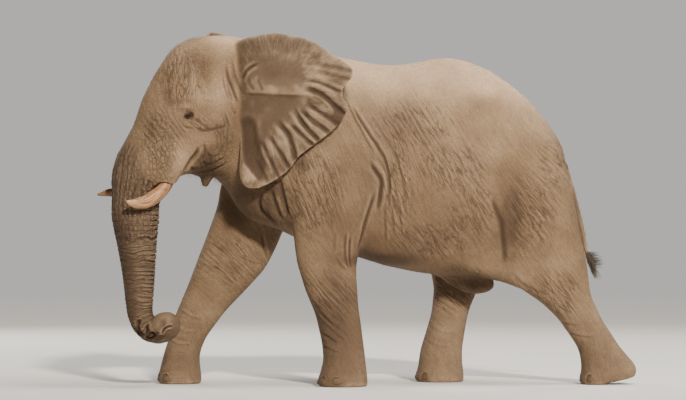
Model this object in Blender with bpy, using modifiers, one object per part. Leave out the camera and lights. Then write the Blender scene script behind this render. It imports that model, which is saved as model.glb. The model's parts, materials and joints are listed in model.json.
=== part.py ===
"""A life-size walking African savanna elephant bull, as a still museum model.

Metres, +Z up. The bull faces -X, with its left side towards -Y, and stands on the plane z = 0.
The flesh is lofted in overlapping forms, fused into one skin-tight solid, smoothed, shaped by named
swells and hollows, and then parted by thin cuts into the pieces that a person would name.
"""

import math

import bmesh
import bpy
import numpy as np
from mathutils import Matrix, Vector

# --- driving dimensions -----------------------------------------------------------------------
FUSE_VOXEL = 0.022  # cell size when the forms are fused
BLEND_PASSES = 34  # smoothing passes that round the joins between forms
FULLNESS = 0.006  # given back after the smoothing
FLESH_TRIANGLES = 2650
CUT = 0.0004  # width of the cuts between named pieces
SEAT_GAP = 0.0004  # gap round an eye, tusk, nail or ear where it sits in the flesh

HEAD_TURN = math.radians(14.0)  # the head looks a little to its left
NECK_PIVOT = Vector((-1.15, 0.0, 0.0))

EYE_RADIUS = 0.027
EYE_SHOWS = 0.011  # how far the eyeball stands out of the flesh
EYE_AT = (-2.06, 0.405, 2.811)  # left and right of the head's own midline
PLACED = (0.0, 0.0, 0.0)  # how far the finished animal was moved to stand on the origin

FINISHES = {  # colour and roughness; a node takes the first finish whose word is in its name
    "eye": ((0.050, 0.022, 0.012), 0.15),
    "tusk": ((0.72, 0.52, 0.33), 0.40),
    "nail": ((0.33, 0.27, 0.20), 0.60),
    "tuft": ((0.045, 0.035, 0.028), 0.80),
    "skin": ((0.36, 0.27, 0.19), 0.90),
}

# --- small maths ------------------------------------------------------------------------------


def through(stations, steps):
    """A smooth run of rows through the given rows: a Catmull-Rom curve over every column."""
    rows = np.array(stations, float)
    ends = np.vstack([2 * rows[0] - rows[1], rows, 2 * rows[-1] - rows[-2]])
    out = []
    for i in range(1, len(ends) - 2):
        a, b, c, d = ends[i - 1 : i + 3]
        for t in np.linspace(0, 1, steps, endpoint=False):
            out.append(0.5 * ((2 * b) + (c - a) * t + (2 * a - 5 * b + 4 * c - d) * t**2
                              + (3 * b - a - 3 * c + d) * t**3))
    out.append(rows[-1])
    return np.array(out)


def oval(count, power=2.0):
    """Cosine-like and sine-like columns of a rounded box, from a diamond (1) to a square (large)."""
    angle = np.arange(count) * 2 * math.pi / count
    c, s = np.cos(angle), np.sin(angle)
    return np.sign(c) * np.abs(c) ** (2 / power), np.sign(s) * np.abs(s) ** (2 / power)


def unit(vector):
    return vector / np.linalg.norm(vector)


def turned(points, share=1.0):
    """Points of the head, built facing straight ahead, swung to where the bull looks."""
    turn = HEAD_TURN * share
    c, s = math.cos(turn), math.sin(turn)
    moved = np.array(points, float) - NECK_PIVOT
    swung = np.stack([c * moved[..., 0] - s * moved[..., 1],
                      s * moved[..., 0] + c * moved[..., 1], moved[..., 2]], -1)
    return swung + NECK_PIVOT


# --- making meshes ----------------------------------------------------------------------------


def mesh_object(name, points, faces, collection):
    mesh = bpy.data.meshes.new(name)
    mesh.from_pydata([tuple(p) for p in points], [], faces)
    made = bmesh.new()
    made.from_mesh(mesh)
    bmesh.ops.triangulate(made, faces=made.faces)
    bmesh.ops.recalc_face_normals(made, faces=made.faces)
    made.to_mesh(mesh)
    made.free()
    obj = bpy.data.objects.new(name, mesh)
    collection.objects.link(obj)
    return obj


def loft(name, rings, collection):
    """A closed body through rings of equal count, each end closed by a fan to its centre."""
    rings = [np.asarray(r, float) for r in rings]
    count = len(rings[0])
    points = np.vstack([*rings, rings[0].mean(0), rings[-1].mean(0)])
    faces = []
    for i in range(len(rings) - 1):
        for j in range(count):
            k = (j + 1) % count
            faces.append((i * count + j, i * count + k, (i + 1) * count + k, (i + 1) * count + j))
    last, first_hub = (len(rings) - 1) * count, len(points) - 2
    for j in range(count):
        k = (j + 1) % count
        faces.append((first_hub, k, j))
        faces.append((first_hub + 1, last + j, last + k))
    return mesh_object(name, points, faces, collection)


def upright_rings(stations, steps, count=44, belly=2.5):
    """Rings across X, one for each x: (x, top, bottom, half width, height of the widest line)."""
    c, s = oval(count)
    c_low, s_low = oval(count, belly)
    c, s = np.where(s < 0, c_low, c), np.where(s < 0, s_low, s)
    rings = []
    for x, top, bottom, half, widest in through(stations, steps):
        z = np.where(s > 0, widest + (top - widest) * s, widest + (widest - bottom) * s)
        rings.append(np.stack([np.full(count, x), half * c, z], 1))
    return rings


def level_rings(stations, side, steps, count=32, power=2.3):
    """Level rings down a leg: (z, front x, rear x, inner |y|, outer |y|)."""
    c, s = oval(count, power)
    rings = []
    for z, front, rear, inner, outer in through(stations, steps):
        x = (front + rear) / 2 + (rear - front) / 2 * c
        y = side * ((inner + outer) / 2 + (outer - inner) / 2 * s)
        rings.append(np.stack([x, y, np.full(count, z)], 1))
    return rings


def head_rings(stations, steps, count=44):
    """Level rings down the head: (z, front x, back x, half width, how much narrower in front)."""
    c, s = oval(count)
    rings = []
    for z, front, back, half, taper in through(stations, steps):
        x = (front + back) / 2 + (back - front) / 2 * c
        y = half * s * (1 + taper * c)
        rings.append(np.stack([x, y, np.full(count, z)], 1))
    return rings


def path_rings(stations, steps, count=28, power=2.0):
    """Rings square to a path: (x, y, z, half depth in the path's plane, half width sideways)."""
    rows = through(stations, steps)
    c, s = oval(count, power)
    ahead = np.gradient(rows[:, :3], axis=0)
    rings = []
    for row, direction in zip(rows, ahead):
        direction = unit(direction)
        side = unit(np.cross(direction, np.cross((0.0, 1.0, 0.0), direction)))
        up = np.cross(side, direction)
        rings.append(row[:3] + np.outer(c * row[3], up) + np.outer(s * row[4], side))
    return rings


# --- the forms of the flesh -------------------------------------------------------------------

TORSO = (  # x, top, bottom, half width, height of the widest line
    (-1.50, 2.95, 2.15, 0.16, 2.50),
    (-1.42, 3.12, 1.95, 0.33, 2.45),
    (-1.25, 3.32, 1.76, 0.45, 2.40),
    (-0.95, 3.44, 1.65, 0.555, 2.36),
    (-0.60, 3.485, 1.50, 0.635, 2.30),
    (-0.25, 3.44, 1.41, 0.695, 2.20),
    (0.15, 3.365, 1.28, 0.745, 2.12),
    (0.50, 3.385, 1.20, 0.77, 2.08),
    (0.88, 3.455, 1.155, 0.76, 2.10),
    (1.25, 3.365, 1.14, 0.70, 2.16),
    (1.55, 3.19, 1.25, 0.61, 2.25),
    (1.80, 2.985, 1.52, 0.505, 2.28),
    (2.00, 2.73, 1.75, 0.365, 2.25),
    (2.13, 2.50, 1.95, 0.20, 2.22),
)
NECK = (
    (-0.60, 3.44, 1.70, 0.56, 2.40),
    (-0.95, 3.50, 1.76, 0.54, 2.50),
    (-1.25, 3.55, 1.90, 0.49, 2.65),
    (-1.50, 3.58, 2.10, 0.44, 2.80),
    (-1.75, 3.52, 2.30, 0.38, 2.90),
)
SKULL = (  # z, front, back, half width, taper
    (3.665, -1.72, -1.44, 0.11, 0.0),
    (3.635, -1.90, -1.28, 0.24, 0.05),
    (3.555, -2.070, -1.15, 0.33, 0.10),
    (3.40, -2.200, -1.12, 0.395, 0.15),
    (3.17, -2.345, -1.12, 0.44, 0.24),
    (2.96, -2.445, -1.16, 0.465, 0.30),
    (2.73, -2.520, -1.20, 0.475, 0.22),
    (2.55, -2.620, -1.24, 0.470, 0.16),
    (2.42, -2.695, -1.34, 0.440, 0.10),
    (2.31, -2.732, -1.55, 0.385, 0.04),
    (2.22, -2.753, -1.98, 0.320, 0.00),
    (2.10, -2.758, -2.22, 0.265, 0.00),
    (1.98, -2.750, -2.26, 0.245, 0.00),
)
TRUNK = (  # x, y, z, half depth, half width
    (-2.32, 0.000, 2.66, 0.140, 0.200),
    (-2.42, 0.000, 2.38, 0.215, 0.245),
    (-2.485, 0.000, 2.12, 0.246, 0.260),
    (-2.508, 0.000, 1.95, 0.246, 0.254),
    (-2.515, 0.000, 1.80, 0.246, 0.246),
    (-2.508, 0.000, 1.65, 0.229, 0.232),
    (-2.497, 0.000, 1.50, 0.206, 0.214),
    (-2.484, 0.000, 1.357, 0.186, 0.197),
    (-2.475, 0.000, 1.21, 0.170, 0.182),
    (-2.469, 0.000, 1.06, 0.155, 0.167),
    (-2.469, 0.000, 0.915, 0.143, 0.155),
    (-2.460, 0.000, 0.768, 0.131, 0.143),
    (-2.425, -0.005, 0.66, 0.123, 0.135),
    (-2.355, -0.020, 0.59, 0.118, 0.130),
    (-2.270, -0.050, 0.568, 0.114, 0.125),
    (-2.205, -0.110, 0.60, 0.114, 0.120),
    (-2.200, -0.185, 0.65, 0.116, 0.118),
    (-2.265, -0.245, 0.680, 0.110, 0.112),
    (-2.330, -0.275, 0.672, 0.088, 0.092),
)
TRUNK_FINGERS = (  # one above and one below the nostrils
    (
        (-2.27, -0.24, 0.72, 0.052, 0.060),
        (-2.34, -0.275, 0.73, 0.044, 0.048),
        (-2.395, -0.30, 0.72, 0.026, 0.030),
    ),
    (
        (-2.27, -0.24, 0.61, 0.052, 0.060),
        (-2.34, -0.280, 0.59, 0.044, 0.048),
        (-2.390, -0.30, 0.60, 0.026, 0.030),
    ),
)
TUSK_SHEATH = (  # for one side, |y|
    (-2.04, 0.16, 3.00, 0.10, 0.10),
    (-2.16, 0.235, 2.74, 0.22, 0.150),
    (-2.22, 0.258, 2.50, 0.240, 0.158),
    (-2.235, 0.262, 2.32, 0.215, 0.148),
    (-2.215, 0.265, 2.205, 0.165, 0.128),
    (-2.165, 0.268, 2.150, 0.105, 0.090),
)
JAW = (
    (-1.28, 0.00, 2.62, 0.36, 0.40),
    (-1.48, 0.00, 2.47, 0.27, 0.36),
    (-1.66, 0.00, 2.385, 0.19, 0.30),
    (-1.82, 0.00, 2.335, 0.135, 0.22),
    (-1.94, 0.00, 2.315, 0.085, 0.14),
)
LOWER_LIP = (
    (-1.70, 0.00, 2.32, 0.120, 0.130),
    (-1.725, 0.00, 2.22, 0.075, 0.085),
    (-1.742, 0.00, 2.14, 0.046, 0.056),
    (-1.750, 0.00, 2.075, 0.030, 0.036),
)
TUSKS = {  # x, |y|, z, radius; the root is buried in its sheath
    -1: (
        (-2.165, 0.245, 2.300, 0.045),
        (-2.200, 0.252, 2.210, 0.053),
        (-2.245, 0.264, 2.125, 0.060),
        (-2.312, 0.278, 2.042, 0.068),
        (-2.415, 0.302, 1.965, 0.073),
        (-2.515, 0.330, 1.920, 0.067),
        (-2.605, 0.354, 1.905, 0.053),
        (-2.680, 0.378, 1.912, 0.031),
        (-2.728, 0.395, 1.926, 0.010),
    ),
    1: (  # longer, and carried higher
        (-2.150, 0.250, 2.300, 0.046),
        (-2.195, 0.256, 2.210, 0.054),
        (-2.260, 0.270, 2.120, 0.062),
        (-2.350, 0.298, 2.055, 0.067),
        (-2.460, 0.338, 2.030, 0.064),
        (-2.570, 0.382, 2.030, 0.054),
        (-2.670, 0.422, 2.028, 0.040),
        (-2.742, 0.448, 2.014, 0.023),
        (-2.784, 0.462, 2.004, 0.008),
    ),
}
FRONT_FOOT = (  # height, how far front and rear stand out from the pillar, inner and outer likewise
    (0.20, 0.022, 0.012),
    (0.11, 0.044, 0.028),
    (0.04, 0.056, 0.038),
    (-0.02, 0.040, 0.028),
)
FRONT_LEFT = (  # z, front, rear, inner, outer
    (2.80, -0.78, -0.22, 0.22, 0.56),
    (2.50, -0.88, -0.06, 0.20, 0.655),
    (2.20, -0.91, 0.05, 0.20, 0.705),
    (1.88, -0.87, 0.07, 0.20, 0.70),
    (1.60, -0.83, -0.06, 0.21, 0.67),
    (1.32, -0.79, -0.165, 0.225, 0.64),
    (1.06, -0.715, -0.165, 0.235, 0.625),
    (0.777, -0.60, -0.14, 0.235, 0.61),
    (0.49, -0.53, -0.103, 0.235, 0.60),
    (0.29, -0.505, -0.075, 0.220, 0.61),
)
FRONT_RIGHT = (
    (2.80, -1.05, -0.50, 0.22, 0.55),
    (2.50, -1.28, -0.52, 0.20, 0.63),
    (2.20, -1.48, -0.62, 0.20, 0.67),
    (1.88, -1.55, -0.76, 0.20, 0.67),
    (1.60, -1.65, -0.85, 0.21, 0.655),
    (1.35, -1.745, -0.97, 0.22, 0.64),
    (1.20, -1.80, -1.057, 0.225, 0.63),
    (1.03, -1.865, -1.214, 0.23, 0.62),
    (0.85, -1.94, -1.39, 0.235, 0.61),
    (0.70, -2.00, -1.52, 0.235, 0.605),
    (0.49, -2.06, -1.67, 0.235, 0.60),
    (0.31, -2.12, -1.745, 0.220, 0.61),
)
HIND_LEFT = (
    (2.90, 1.15, 1.66, 0.10, 0.45),
    (2.60, 1.10, 1.93, 0.08, 0.56),
    (2.20, 1.20, 2.11, 0.08, 0.62),
    (1.81, 1.33, 2.195, 0.10, 0.63),
    (1.52, 1.40, 2.25, 0.13, 0.615),
    (1.29, 1.46, 2.30, 0.15, 0.60),
    (1.09, 1.53, 2.33, 0.17, 0.575),
    (0.97, 1.68, 2.345, 0.18, 0.56),
    (0.835, 1.87, 2.395, 0.19, 0.55),
    (0.67, 2.037, 2.475, 0.20, 0.54),
    (0.457, 2.18, 2.62, 0.205, 0.535),
    (0.34, 2.26, 2.69, 0.200, 0.54),
)
HIND_RIGHT = (
    (2.90, 1.15, 1.66, 0.10, 0.45),
    (2.60, 1.02, 1.88, 0.08, 0.56),
    (2.20, 0.92, 1.95, 0.08, 0.62),
    (1.81, 0.82, 1.82, 0.10, 0.63),
    (1.52, 0.76, 1.60, 0.13, 0.615),
    (1.29, 0.75, 1.42, 0.15, 0.60),
    (1.15, 0.77, 1.34, 0.165, 0.585),
    (1.00, 0.807, 1.27, 0.18, 0.57),
    (0.734, 0.775, 1.165, 0.19, 0.555),
    (0.415, 0.678, 1.108, 0.195, 0.55),
    (0.29, 0.645, 1.10, 0.185, 0.56),
)
HIND_FOOT = (
    (0.18, 0.008, 0.004),
    (0.09, 0.035, 0.025),
    (0.03, 0.040, 0.030),
    (-0.02, 0.022, 0.016),
)
TAIL = (  # x, y, z, half depth, half width
    (1.86, 0.0, 2.62, 0.075, 0.090),
    (2.02, 0.0, 2.50, 0.070, 0.080),
    (2.14, 0.0, 2.32, 0.058, 0.066),
    (2.215, 0.0, 2.10, 0.044, 0.050),
    (2.275, 0.0, 1.88, 0.034, 0.040),
    (2.345, 0.0, 1.64, 0.028, 0.032),
    (2.395, 0.0, 1.42, 0.024, 0.028),
    (2.420, 0.0, 1.30, 0.020, 0.024),
)
TUFT = (
    (2.405, 0.0, 1.385, 0.032, 0.036),
    (2.428, 0.0, 1.310, 0.050, 0.042),
    (2.470, 0.0, 1.240, 0.086, 0.034),
    (2.510, 0.0, 1.175, 0.082, 0.024),
    (2.535, 0.0, 1.125, 0.040, 0.012),
)
NEAR_TOES = ((-0.03, 2.255, 2.500), (0.05, 2.245, 2.545), (0.13, 2.265, 2.580), (0.20, 2.300, 2.600))
PUSHING_FOOT = (  # front x, front z, rear x, rear z, inner, outer: rings tip as the heel lifts
    (2.12, 0.560, 2.550, 0.560, 0.200, 0.540),
    (2.20, 0.440, 2.625, 0.450, 0.200, 0.540),
    (2.245, 0.320, 2.705, 0.350, 0.195, 0.545),
    (2.262, 0.200, 2.795, 0.250, 0.185, 0.560),
    (2.265, 0.095, 2.850, 0.165, 0.178, 0.570),
    (2.290, -0.005, 2.850, 0.080, 0.185, 0.562),
)
BELLY_SHEATH = (
    (0.82, 0.0, 1.22, 0.09, 0.08),
    (1.00, 0.0, 1.10, 0.095, 0.085),
    (1.14, 0.0, 1.045, 0.095, 0.088),
    (1.28, 0.0, 1.045, 0.085, 0.085),
    (1.38, 0.0, 1.085, 0.060, 0.065),
)
FLANK_FOLDS = {  # the flap of skin from the belly to the front of each thigh: x, |y|, z, depth, width
    -1: (
        (0.88, 0.38, 1.48, 0.11, 0.16),
        (1.10, 0.38, 1.43, 0.14, 0.19),
        (1.32, 0.38, 1.42, 0.15, 0.18),
        (1.52, 0.38, 1.43, 0.15, 0.16),
        (1.68, 0.38, 1.50, 0.15, 0.14),
    ),
    1: (
        (0.36, 0.40, 1.52, 0.11, 0.16),
        (0.54, 0.40, 1.46, 0.14, 0.18),
        (0.72, 0.40, 1.44, 0.15, 0.17),
        (0.92, 0.40, 1.47, 0.14, 0.15),
    ),
}
EAR_EDGE = (  # back from the root, height
    (-0.030, 3.566), (0.079, 3.624), (0.228, 3.660), (0.356, 3.681), (0.475, 3.684), (0.594, 3.658),
    (0.730, 3.630), (0.872, 3.560), (1.000, 3.462), (1.110, 3.385), (1.195, 3.300), (1.172, 3.200),
    (1.089, 3.108), (1.079, 3.001), (1.134, 2.923), (1.104, 2.825), (1.020, 2.709), (0.891, 2.592),
    (0.772, 2.504), (0.634, 2.397), (0.554, 2.290), (0.446, 2.192), (0.317, 2.114), (0.183, 2.061),
    (0.069, 2.075), (0.005, 2.173), (0.000, 2.338), (0.010, 2.523), (0.010, 2.718), (0.000, 2.913),
    (-0.010, 3.108), (-0.020, 3.303), (-0.030, 3.449),
)
EAR_HUB = (0.30, 2.98)
EAR_RINGS = (0.42, 0.80, 1.0)
EAR_ROOT_X = {-1: -1.52, 1: -1.66}
EAR_TILT = {-1: 0.0, 1: math.radians(12.0)}  # the right ear is swung up and forward
EAR_ROOT_Y = ((2.0, 2.4, 2.8, 3.1, 3.45, 3.75), (0.44, 0.43, 0.44, 0.43, 0.36, 0.25))
EAR_FLARE = {-1: math.radians(22.0), 1: math.radians(50.0)}
EAR_STAND = {-1: 0.125, 1: 0.05}  # how far the ear bows away from the neck
EAR_THICK_ROOT, EAR_THICK_RIM = 0.036, 0.020


def with_foot(leg, foot):
    """The leg's rows continued by the foot's, which stand out from the leg's last row."""
    _, front, rear, inner, outer = leg[-1]
    return leg + tuple(
        (z, front - ahead, rear + ahead * 0.4, inner - across, outer + across)
        for z, ahead, across in foot
    )


def tipped_rings(stations, side, steps, count=32, power=2.3):
    """Rings between a front and a rear point: (front x, front z, rear x, rear z, inner, outer)."""
    c, s = oval(count, power)
    rings = []
    for fx, fz, rx, rz, inner, outer in through(stations, steps):
        x = (fx + rx) / 2 + (rx - fx) / 2 * c
        z = (fz + rz) / 2 + (rz - fz) / 2 * c
        y = side * ((inner + outer) / 2 + (outer - inner) / 2 * s)
        rings.append(np.stack([x, y, z], 1))
    return rings


def make_forms(collection):
    """Every lofted form of the body, overlapping its neighbours."""
    loft("torso_form", upright_rings(TORSO, 3), collection)
    neck = upright_rings(NECK, 3)
    share = np.linspace(0, 1, len(neck)) ** 1.2
    loft("neck_form", [turned(r, s) for r, s in zip(neck, share)], collection)
    loft("skull_form", [turned(r) for r in head_rings(SKULL, 3)], collection)
    loft("trunk_form", [turned(r) for r in path_rings(TRUNK, 4)], collection)
    for number, finger in enumerate(TRUNK_FINGERS):
        loft(f"finger_form{number}", [turned(r) for r in path_rings(finger, 3, 12)], collection)
    loft("jaw_form", [turned(r) for r in path_rings(JAW, 3)], collection)
    loft("lip_form", [turned(r) for r in path_rings(LOWER_LIP, 3)], collection)
    for side in (-1, 1):
        rows = [(x, side * y, z, d, w) for x, y, z, d, w in TUSK_SHEATH]
        loft(f"sheath_form{side}", [turned(r) for r in path_rings(rows, 3)], collection)
        rows = [(x, side * y, z, d, w) for x, y, z, d, w in FLANK_FOLDS[side]]
        loft(f"flank_form{side}", path_rings(rows, 3), collection)
    legs = (
        ("front_left", FRONT_LEFT, FRONT_FOOT, -1),
        ("front_right", FRONT_RIGHT, FRONT_FOOT, 1),
        ("hind_right", HIND_RIGHT, HIND_FOOT, 1),
    )
    for name, leg, foot, side in legs:
        loft(name + "_form", level_rings(with_foot(leg, foot), side, 3), collection)
    loft("hind_left_form", level_rings(HIND_LEFT, -1, 3), collection)
    loft("pushing_foot_form", tipped_rings(PUSHING_FOOT, -1, 3), collection)
    toes = [(z, front, rear, 0.185, 0.560) for z, front, rear in NEAR_TOES]
    loft("toes_form", level_rings(toes, -1, 2), collection)
    loft("belly_sheath_form", path_rings(BELLY_SHEATH, 3), collection)


# --- fusing, smoothing and shaping the flesh ---------------------------------------------------


def baked(obj):
    """The object with its modifiers applied."""
    graph = bpy.context.evaluated_depsgraph_get()
    graph.update()
    mesh = bpy.data.meshes.new_from_object(obj.evaluated_get(graph))
    obj.modifiers.clear()
    obj.data = mesh
    return obj


def fused(collection, name):
    """One skin round all the forms."""
    joined = bmesh.new()
    for form in collection.objects:
        joined.from_mesh(form.data)
    mesh = bpy.data.meshes.new(name)
    joined.to_mesh(mesh)
    joined.free()
    body = bpy.data.objects.new(name, mesh)
    bpy.context.scene.collection.objects.link(body)
    remesh = body.modifiers.new("fuse", "REMESH")
    remesh.mode = "VOXEL"
    remesh.voxel_size = FUSE_VOXEL
    return baked(body)


def corners_of(mesh):
    points = np.empty(len(mesh.vertices) * 3)
    mesh.vertices.foreach_get("co", points)
    return points.reshape(-1, 3)


def set_corners(mesh, points):
    mesh.vertices.foreach_set("co", np.asarray(points, float).ravel())
    mesh.update()


def normals_of(mesh):
    normals = np.empty(len(mesh.vertices) * 3)
    mesh.vertex_normals.foreach_get("vector", normals)
    return normals.reshape(-1, 3)


def relax(mesh, passes):
    """Rounds a mesh without shrinking it: each pass steps in, then almost as far out again."""
    points = corners_of(mesh)
    edges = np.empty(len(mesh.edges) * 2, int)
    mesh.edges.foreach_get("vertices", edges)
    a, b = edges.reshape(-1, 2).T
    count = np.bincount(a, minlength=len(points)) + np.bincount(b, minlength=len(points))
    for step in (0.6, -0.61) * passes:
        for axis in range(3):
            column = points[:, axis]
            near = np.bincount(a, column[b], len(column)) + np.bincount(b, column[a], len(column))
            points[:, axis] = column + step * (near / count - column)
    set_corners(mesh, points)


SWELLS = (  # frame, centre, reach, height; every one is on both sides
    ("head", (-1.95, 0.43, 3.12), (0.13, 0.20, 0.17), -0.040),  # temple
    ("head", (-2.22, 0.36, 3.02), (0.08, 0.16, 0.20), -0.020),  # beside the brow of the trunk
    ("head", (-2.09, 0.42, 2.90), (0.10, 0.12, 0.05), 0.022),  # brow
    ("head", (-2.06, 0.43, 2.81), (0.075, 0.10, 0.055), -0.022),  # eye socket
    ("head", (-1.74, 0.44, 3.02), (0.09, 0.20, 0.26), 0.022),  # ridge in front of the ear
    ("head", (-1.86, 0.47, 2.62), (0.15, 0.20, 0.13), 0.022),  # cheek
    ("head", (-2.00, 0.40, 2.44), (0.06, 0.15, 0.16), -0.030),  # behind the tusk sheath
    ("head", (-2.20, 0.40, 2.60), (0.12, 0.15, 0.20), 0.012),  # tusk sheath
    ("head", (-1.72, 0.20, 3.66), (0.22, 0.14, 0.12), 0.014),  # twin domes of the crown
    ("body", (-1.16, 0.52, 2.70), (0.13, 0.30, 0.45), -0.035),  # where neck meets shoulder
    ("body", (-0.55, 0.62, 2.75), (0.16, 0.30, 0.50), 0.018),  # shoulder blade
    ("body", (0.10, 0.80, 2.05), (0.10, 0.30, 0.55), -0.040),  # behind the shoulder
    ("body", (-0.10, 0.72, 1.62), (0.12, 0.20, 0.14), 0.018),  # elbow
    ("body", (0.95, 0.76, 2.62), (0.20, 0.30, 0.28), -0.030),  # flank hollow
    ("body", (1.22, 0.58, 3.02), (0.16, 0.22, 0.16), 0.030),  # hip bone
    ("body", (1.30, 0.72, 1.75), (0.09, 0.25, 0.50), -0.030),  # in front of the thigh
    ("body", (1.75, 0.60, 2.10), (0.25, 0.25, 0.40), 0.020),  # thigh
    ("body", (0.30, 0.00, 3.40), (1.00, 0.11, 0.30), 0.022),  # spine
    ("body", (1.75, 0.16, 2.75), (0.20, 0.10, 0.25), -0.020),  # beside the tail
)


def unturned(points):
    c, s = math.cos(HEAD_TURN), math.sin(HEAD_TURN)
    moved = points - NECK_PIVOT
    back = np.stack([c * moved[:, 0] + s * moved[:, 1], -s * moved[:, 0] + c * moved[:, 1],
                     moved[:, 2]], -1)
    return back + NECK_PIVOT


def swell(mesh):
    """Pushes the named swells out and the named hollows in, along the skin's own direction."""
    points, normals = corners_of(mesh), normals_of(mesh)
    heads = unturned(points)
    push = np.zeros(len(points))
    for frame, centre, reach, height in SWELLS:
        where = heads if frame == "head" else points
        for side in (-1, 1) if centre[1] else (1,):
            away = (where - np.array(centre) * (1, side, 1)) / reach
            push += height * np.exp(-(away**2).sum(1))
    set_corners(mesh, points + normals * push[:, None])


def thinned(obj, triangles):
    decimate = obj.modifiers.new("thin", "DECIMATE")
    decimate.ratio = triangles / (2 * len(obj.data.polygons))
    decimate.use_collapse_triangulate = True
    return baked(obj)


# --- cutting ------------------------------------------------------------------------------------


def grown(obj, by, name):
    """A copy whose surface stands off by the given distance."""
    copy = obj.copy()
    copy.data = obj.data.copy()
    copy.name = name
    bpy.context.scene.collection.objects.link(copy)
    set_corners(copy.data, corners_of(copy.data) + by * normals_of(copy.data))
    return copy


def carve(obj, tool, keep_tool=False):
    """Takes the tool's volume out of the object."""
    cut = obj.modifiers.new("cut", "BOOLEAN")
    cut.operation, cut.solver, cut.object = "DIFFERENCE", "EXACT", tool
    baked(obj)
    if not keep_tool:
        bpy.data.objects.remove(tool)
    return obj


def slab(centre, normal, wide, tall, thick=CUT, turn=0.0):
    """A thin board: centre, the way its face looks, and its half sizes along Y and the other way."""
    normal = Vector(normal).normalized()
    across = (Vector((0, 1, 0)) - normal * normal.y).normalized()
    up = normal.cross(across)
    axes = Matrix((across, up, normal)).transposed()
    swing = Matrix.Rotation(turn, 3, "Z")
    made = bmesh.new()
    bmesh.ops.create_cube(made, size=2.0)
    for v in made.verts:
        local = axes @ Vector((v.co.x * wide, v.co.y * tall, v.co.z * thick / 2)) + Vector(centre)
        v.co = swing @ (local - NECK_PIVOT) + NECK_PIVOT if turn else local
    mesh = bpy.data.meshes.new("board")
    made.to_mesh(mesh)
    made.free()
    board = bpy.data.objects.new("board", mesh)
    bpy.context.scene.collection.objects.link(board)
    return board


def islands(obj, smallest=2e-5):
    """The separate bodies of a mesh as new objects, largest first, without crumbs."""
    whole = bmesh.new()
    whole.from_mesh(obj.data)
    whole.verts.ensure_lookup_table()
    seen, bodies = set(), []
    for start in whole.verts:
        if start.index in seen:
            continue
        group, stack = set(), [start]
        seen.add(start.index)
        while stack:
            v = stack.pop()
            group.add(v.index)
            for e in v.link_edges:
                w = e.other_vert(v)
                if w.index not in seen:
                    seen.add(w.index)
                    stack.append(w)
        bodies.append(group)
    made = []
    for group in bodies:
        one = whole.copy()
        one.verts.ensure_lookup_table()
        bmesh.ops.delete(one, geom=[v for v in one.verts if v.index not in group], context="VERTS")
        volume = one.calc_volume()
        if volume > smallest:
            mesh = bpy.data.meshes.new("body")
            one.to_mesh(mesh)
            made.append((volume, bpy.data.objects.new("body", mesh)))
        one.free()
    whole.free()
    made.sort(key=lambda pair: -pair[0])
    for _, body in made:
        bpy.context.scene.collection.objects.link(body)
    return [body for _, body in made]


def centre_of(obj):
    points = corners_of(obj.data)
    return (points.min(0) + points.max(0)) / 2


def part_off(pieces, whole, new, board, near):
    """Cuts a piece with a board; the body nearest to the given point becomes the new piece."""
    carve(pieces[whole], board)
    bodies = islands(pieces[whole])
    bpy.data.objects.remove(pieces.pop(whole))
    bodies = sorted(bodies, key=lambda b: np.linalg.norm(centre_of(b) - np.array(near)))
    pieces[new] = bodies[0]
    rest = sorted(bodies[1:], key=lambda b: -len(b.data.vertices))
    if not rest:
        raise ValueError(f"the cut between {whole} and {new} doesn't go all the way through")
    pieces[whole] = rest[0]
    for crumb in rest[1:]:
        bpy.data.objects.remove(crumb)


# --- ears, eyes, tusks, nails and tail ------------------------------------------------------------


def ear_place(back, height, side):
    """A point of the middle of the ear's sheet, in the head's frame."""
    flare = EAR_FLARE[side]
    back, height = np.asarray(back), np.asarray(height)
    along = np.array((math.cos(flare), side * math.sin(flare), 0.0))
    outward = np.array((-math.sin(flare), side * math.cos(flare), 0.0))
    c, s = math.cos(EAR_TILT[side]), math.sin(EAR_TILT[side])
    back, height = c * back - s * (height - 3.1), s * back + c * (height - 3.1) + 3.1
    root = side * np.interp(height, *EAR_ROOT_Y)
    bow = EAR_STAND[side] * (1 - np.exp(-np.clip(back, 0, None) / 0.16))
    place = np.outer(back, along) + np.outer(bow, outward)
    place[:, 0] += EAR_ROOT_X[side]
    place[:, 1] += root
    place[:, 2] += height
    return place, outward


def make_ear(side, name):
    closed = list(EAR_EDGE) + [EAR_EDGE[0]]
    edge = through(closed, 1)[:-1]
    count = len(edge)
    sheets = {1: [], -1: []}
    for face in (1, -1):
        for ring in (0.0, *EAR_RINGS):
            spots = np.array(EAR_HUB) + ring * (edge - np.array(EAR_HUB)) if ring else np.array([EAR_HUB])
            place, outward = ear_place(spots[:, 0], spots[:, 1], side)
            thick = np.interp(spots[:, 0], (0.0, 0.45), (EAR_THICK_ROOT, EAR_THICK_RIM))
            thick = thick * (0.55 if ring == 1.0 else 1.0)
            sheets[face].append(place + face * 0.5 * thick[:, None] * outward)
    points = np.vstack([*sheets[1], *sheets[-1]])
    half = 1 + count * len(EAR_RINGS)
    faces = []
    for base in (0, half):
        for j in range(count):
            k = (j + 1) % count
            faces.append((base, base + 1 + j, base + 1 + k))
            for i in range(len(EAR_RINGS) - 1):
                a, b = base + 1 + i * count, base + 1 + (i + 1) * count
                faces.append((a + j, b + j, b + k, a + k))
    last = 1 + (len(EAR_RINGS) - 1) * count
    for j in range(count):
        k = (j + 1) % count
        faces.append((last + j, half + last + j, half + last + k, last + k))
    return mesh_object(name, turned(points), faces, bpy.context.scene.collection)


def surface_point(obj, start, toward):
    """Where a line first meets an object, and the way the surface looks there."""
    hit, place, normal, _ = obj.ray_cast(Vector(start), Vector(toward).normalized())
    if not hit:
        raise ValueError(f"nothing of {obj.name} lies from {tuple(start)} towards {tuple(toward)}")
    return place, normal


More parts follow.
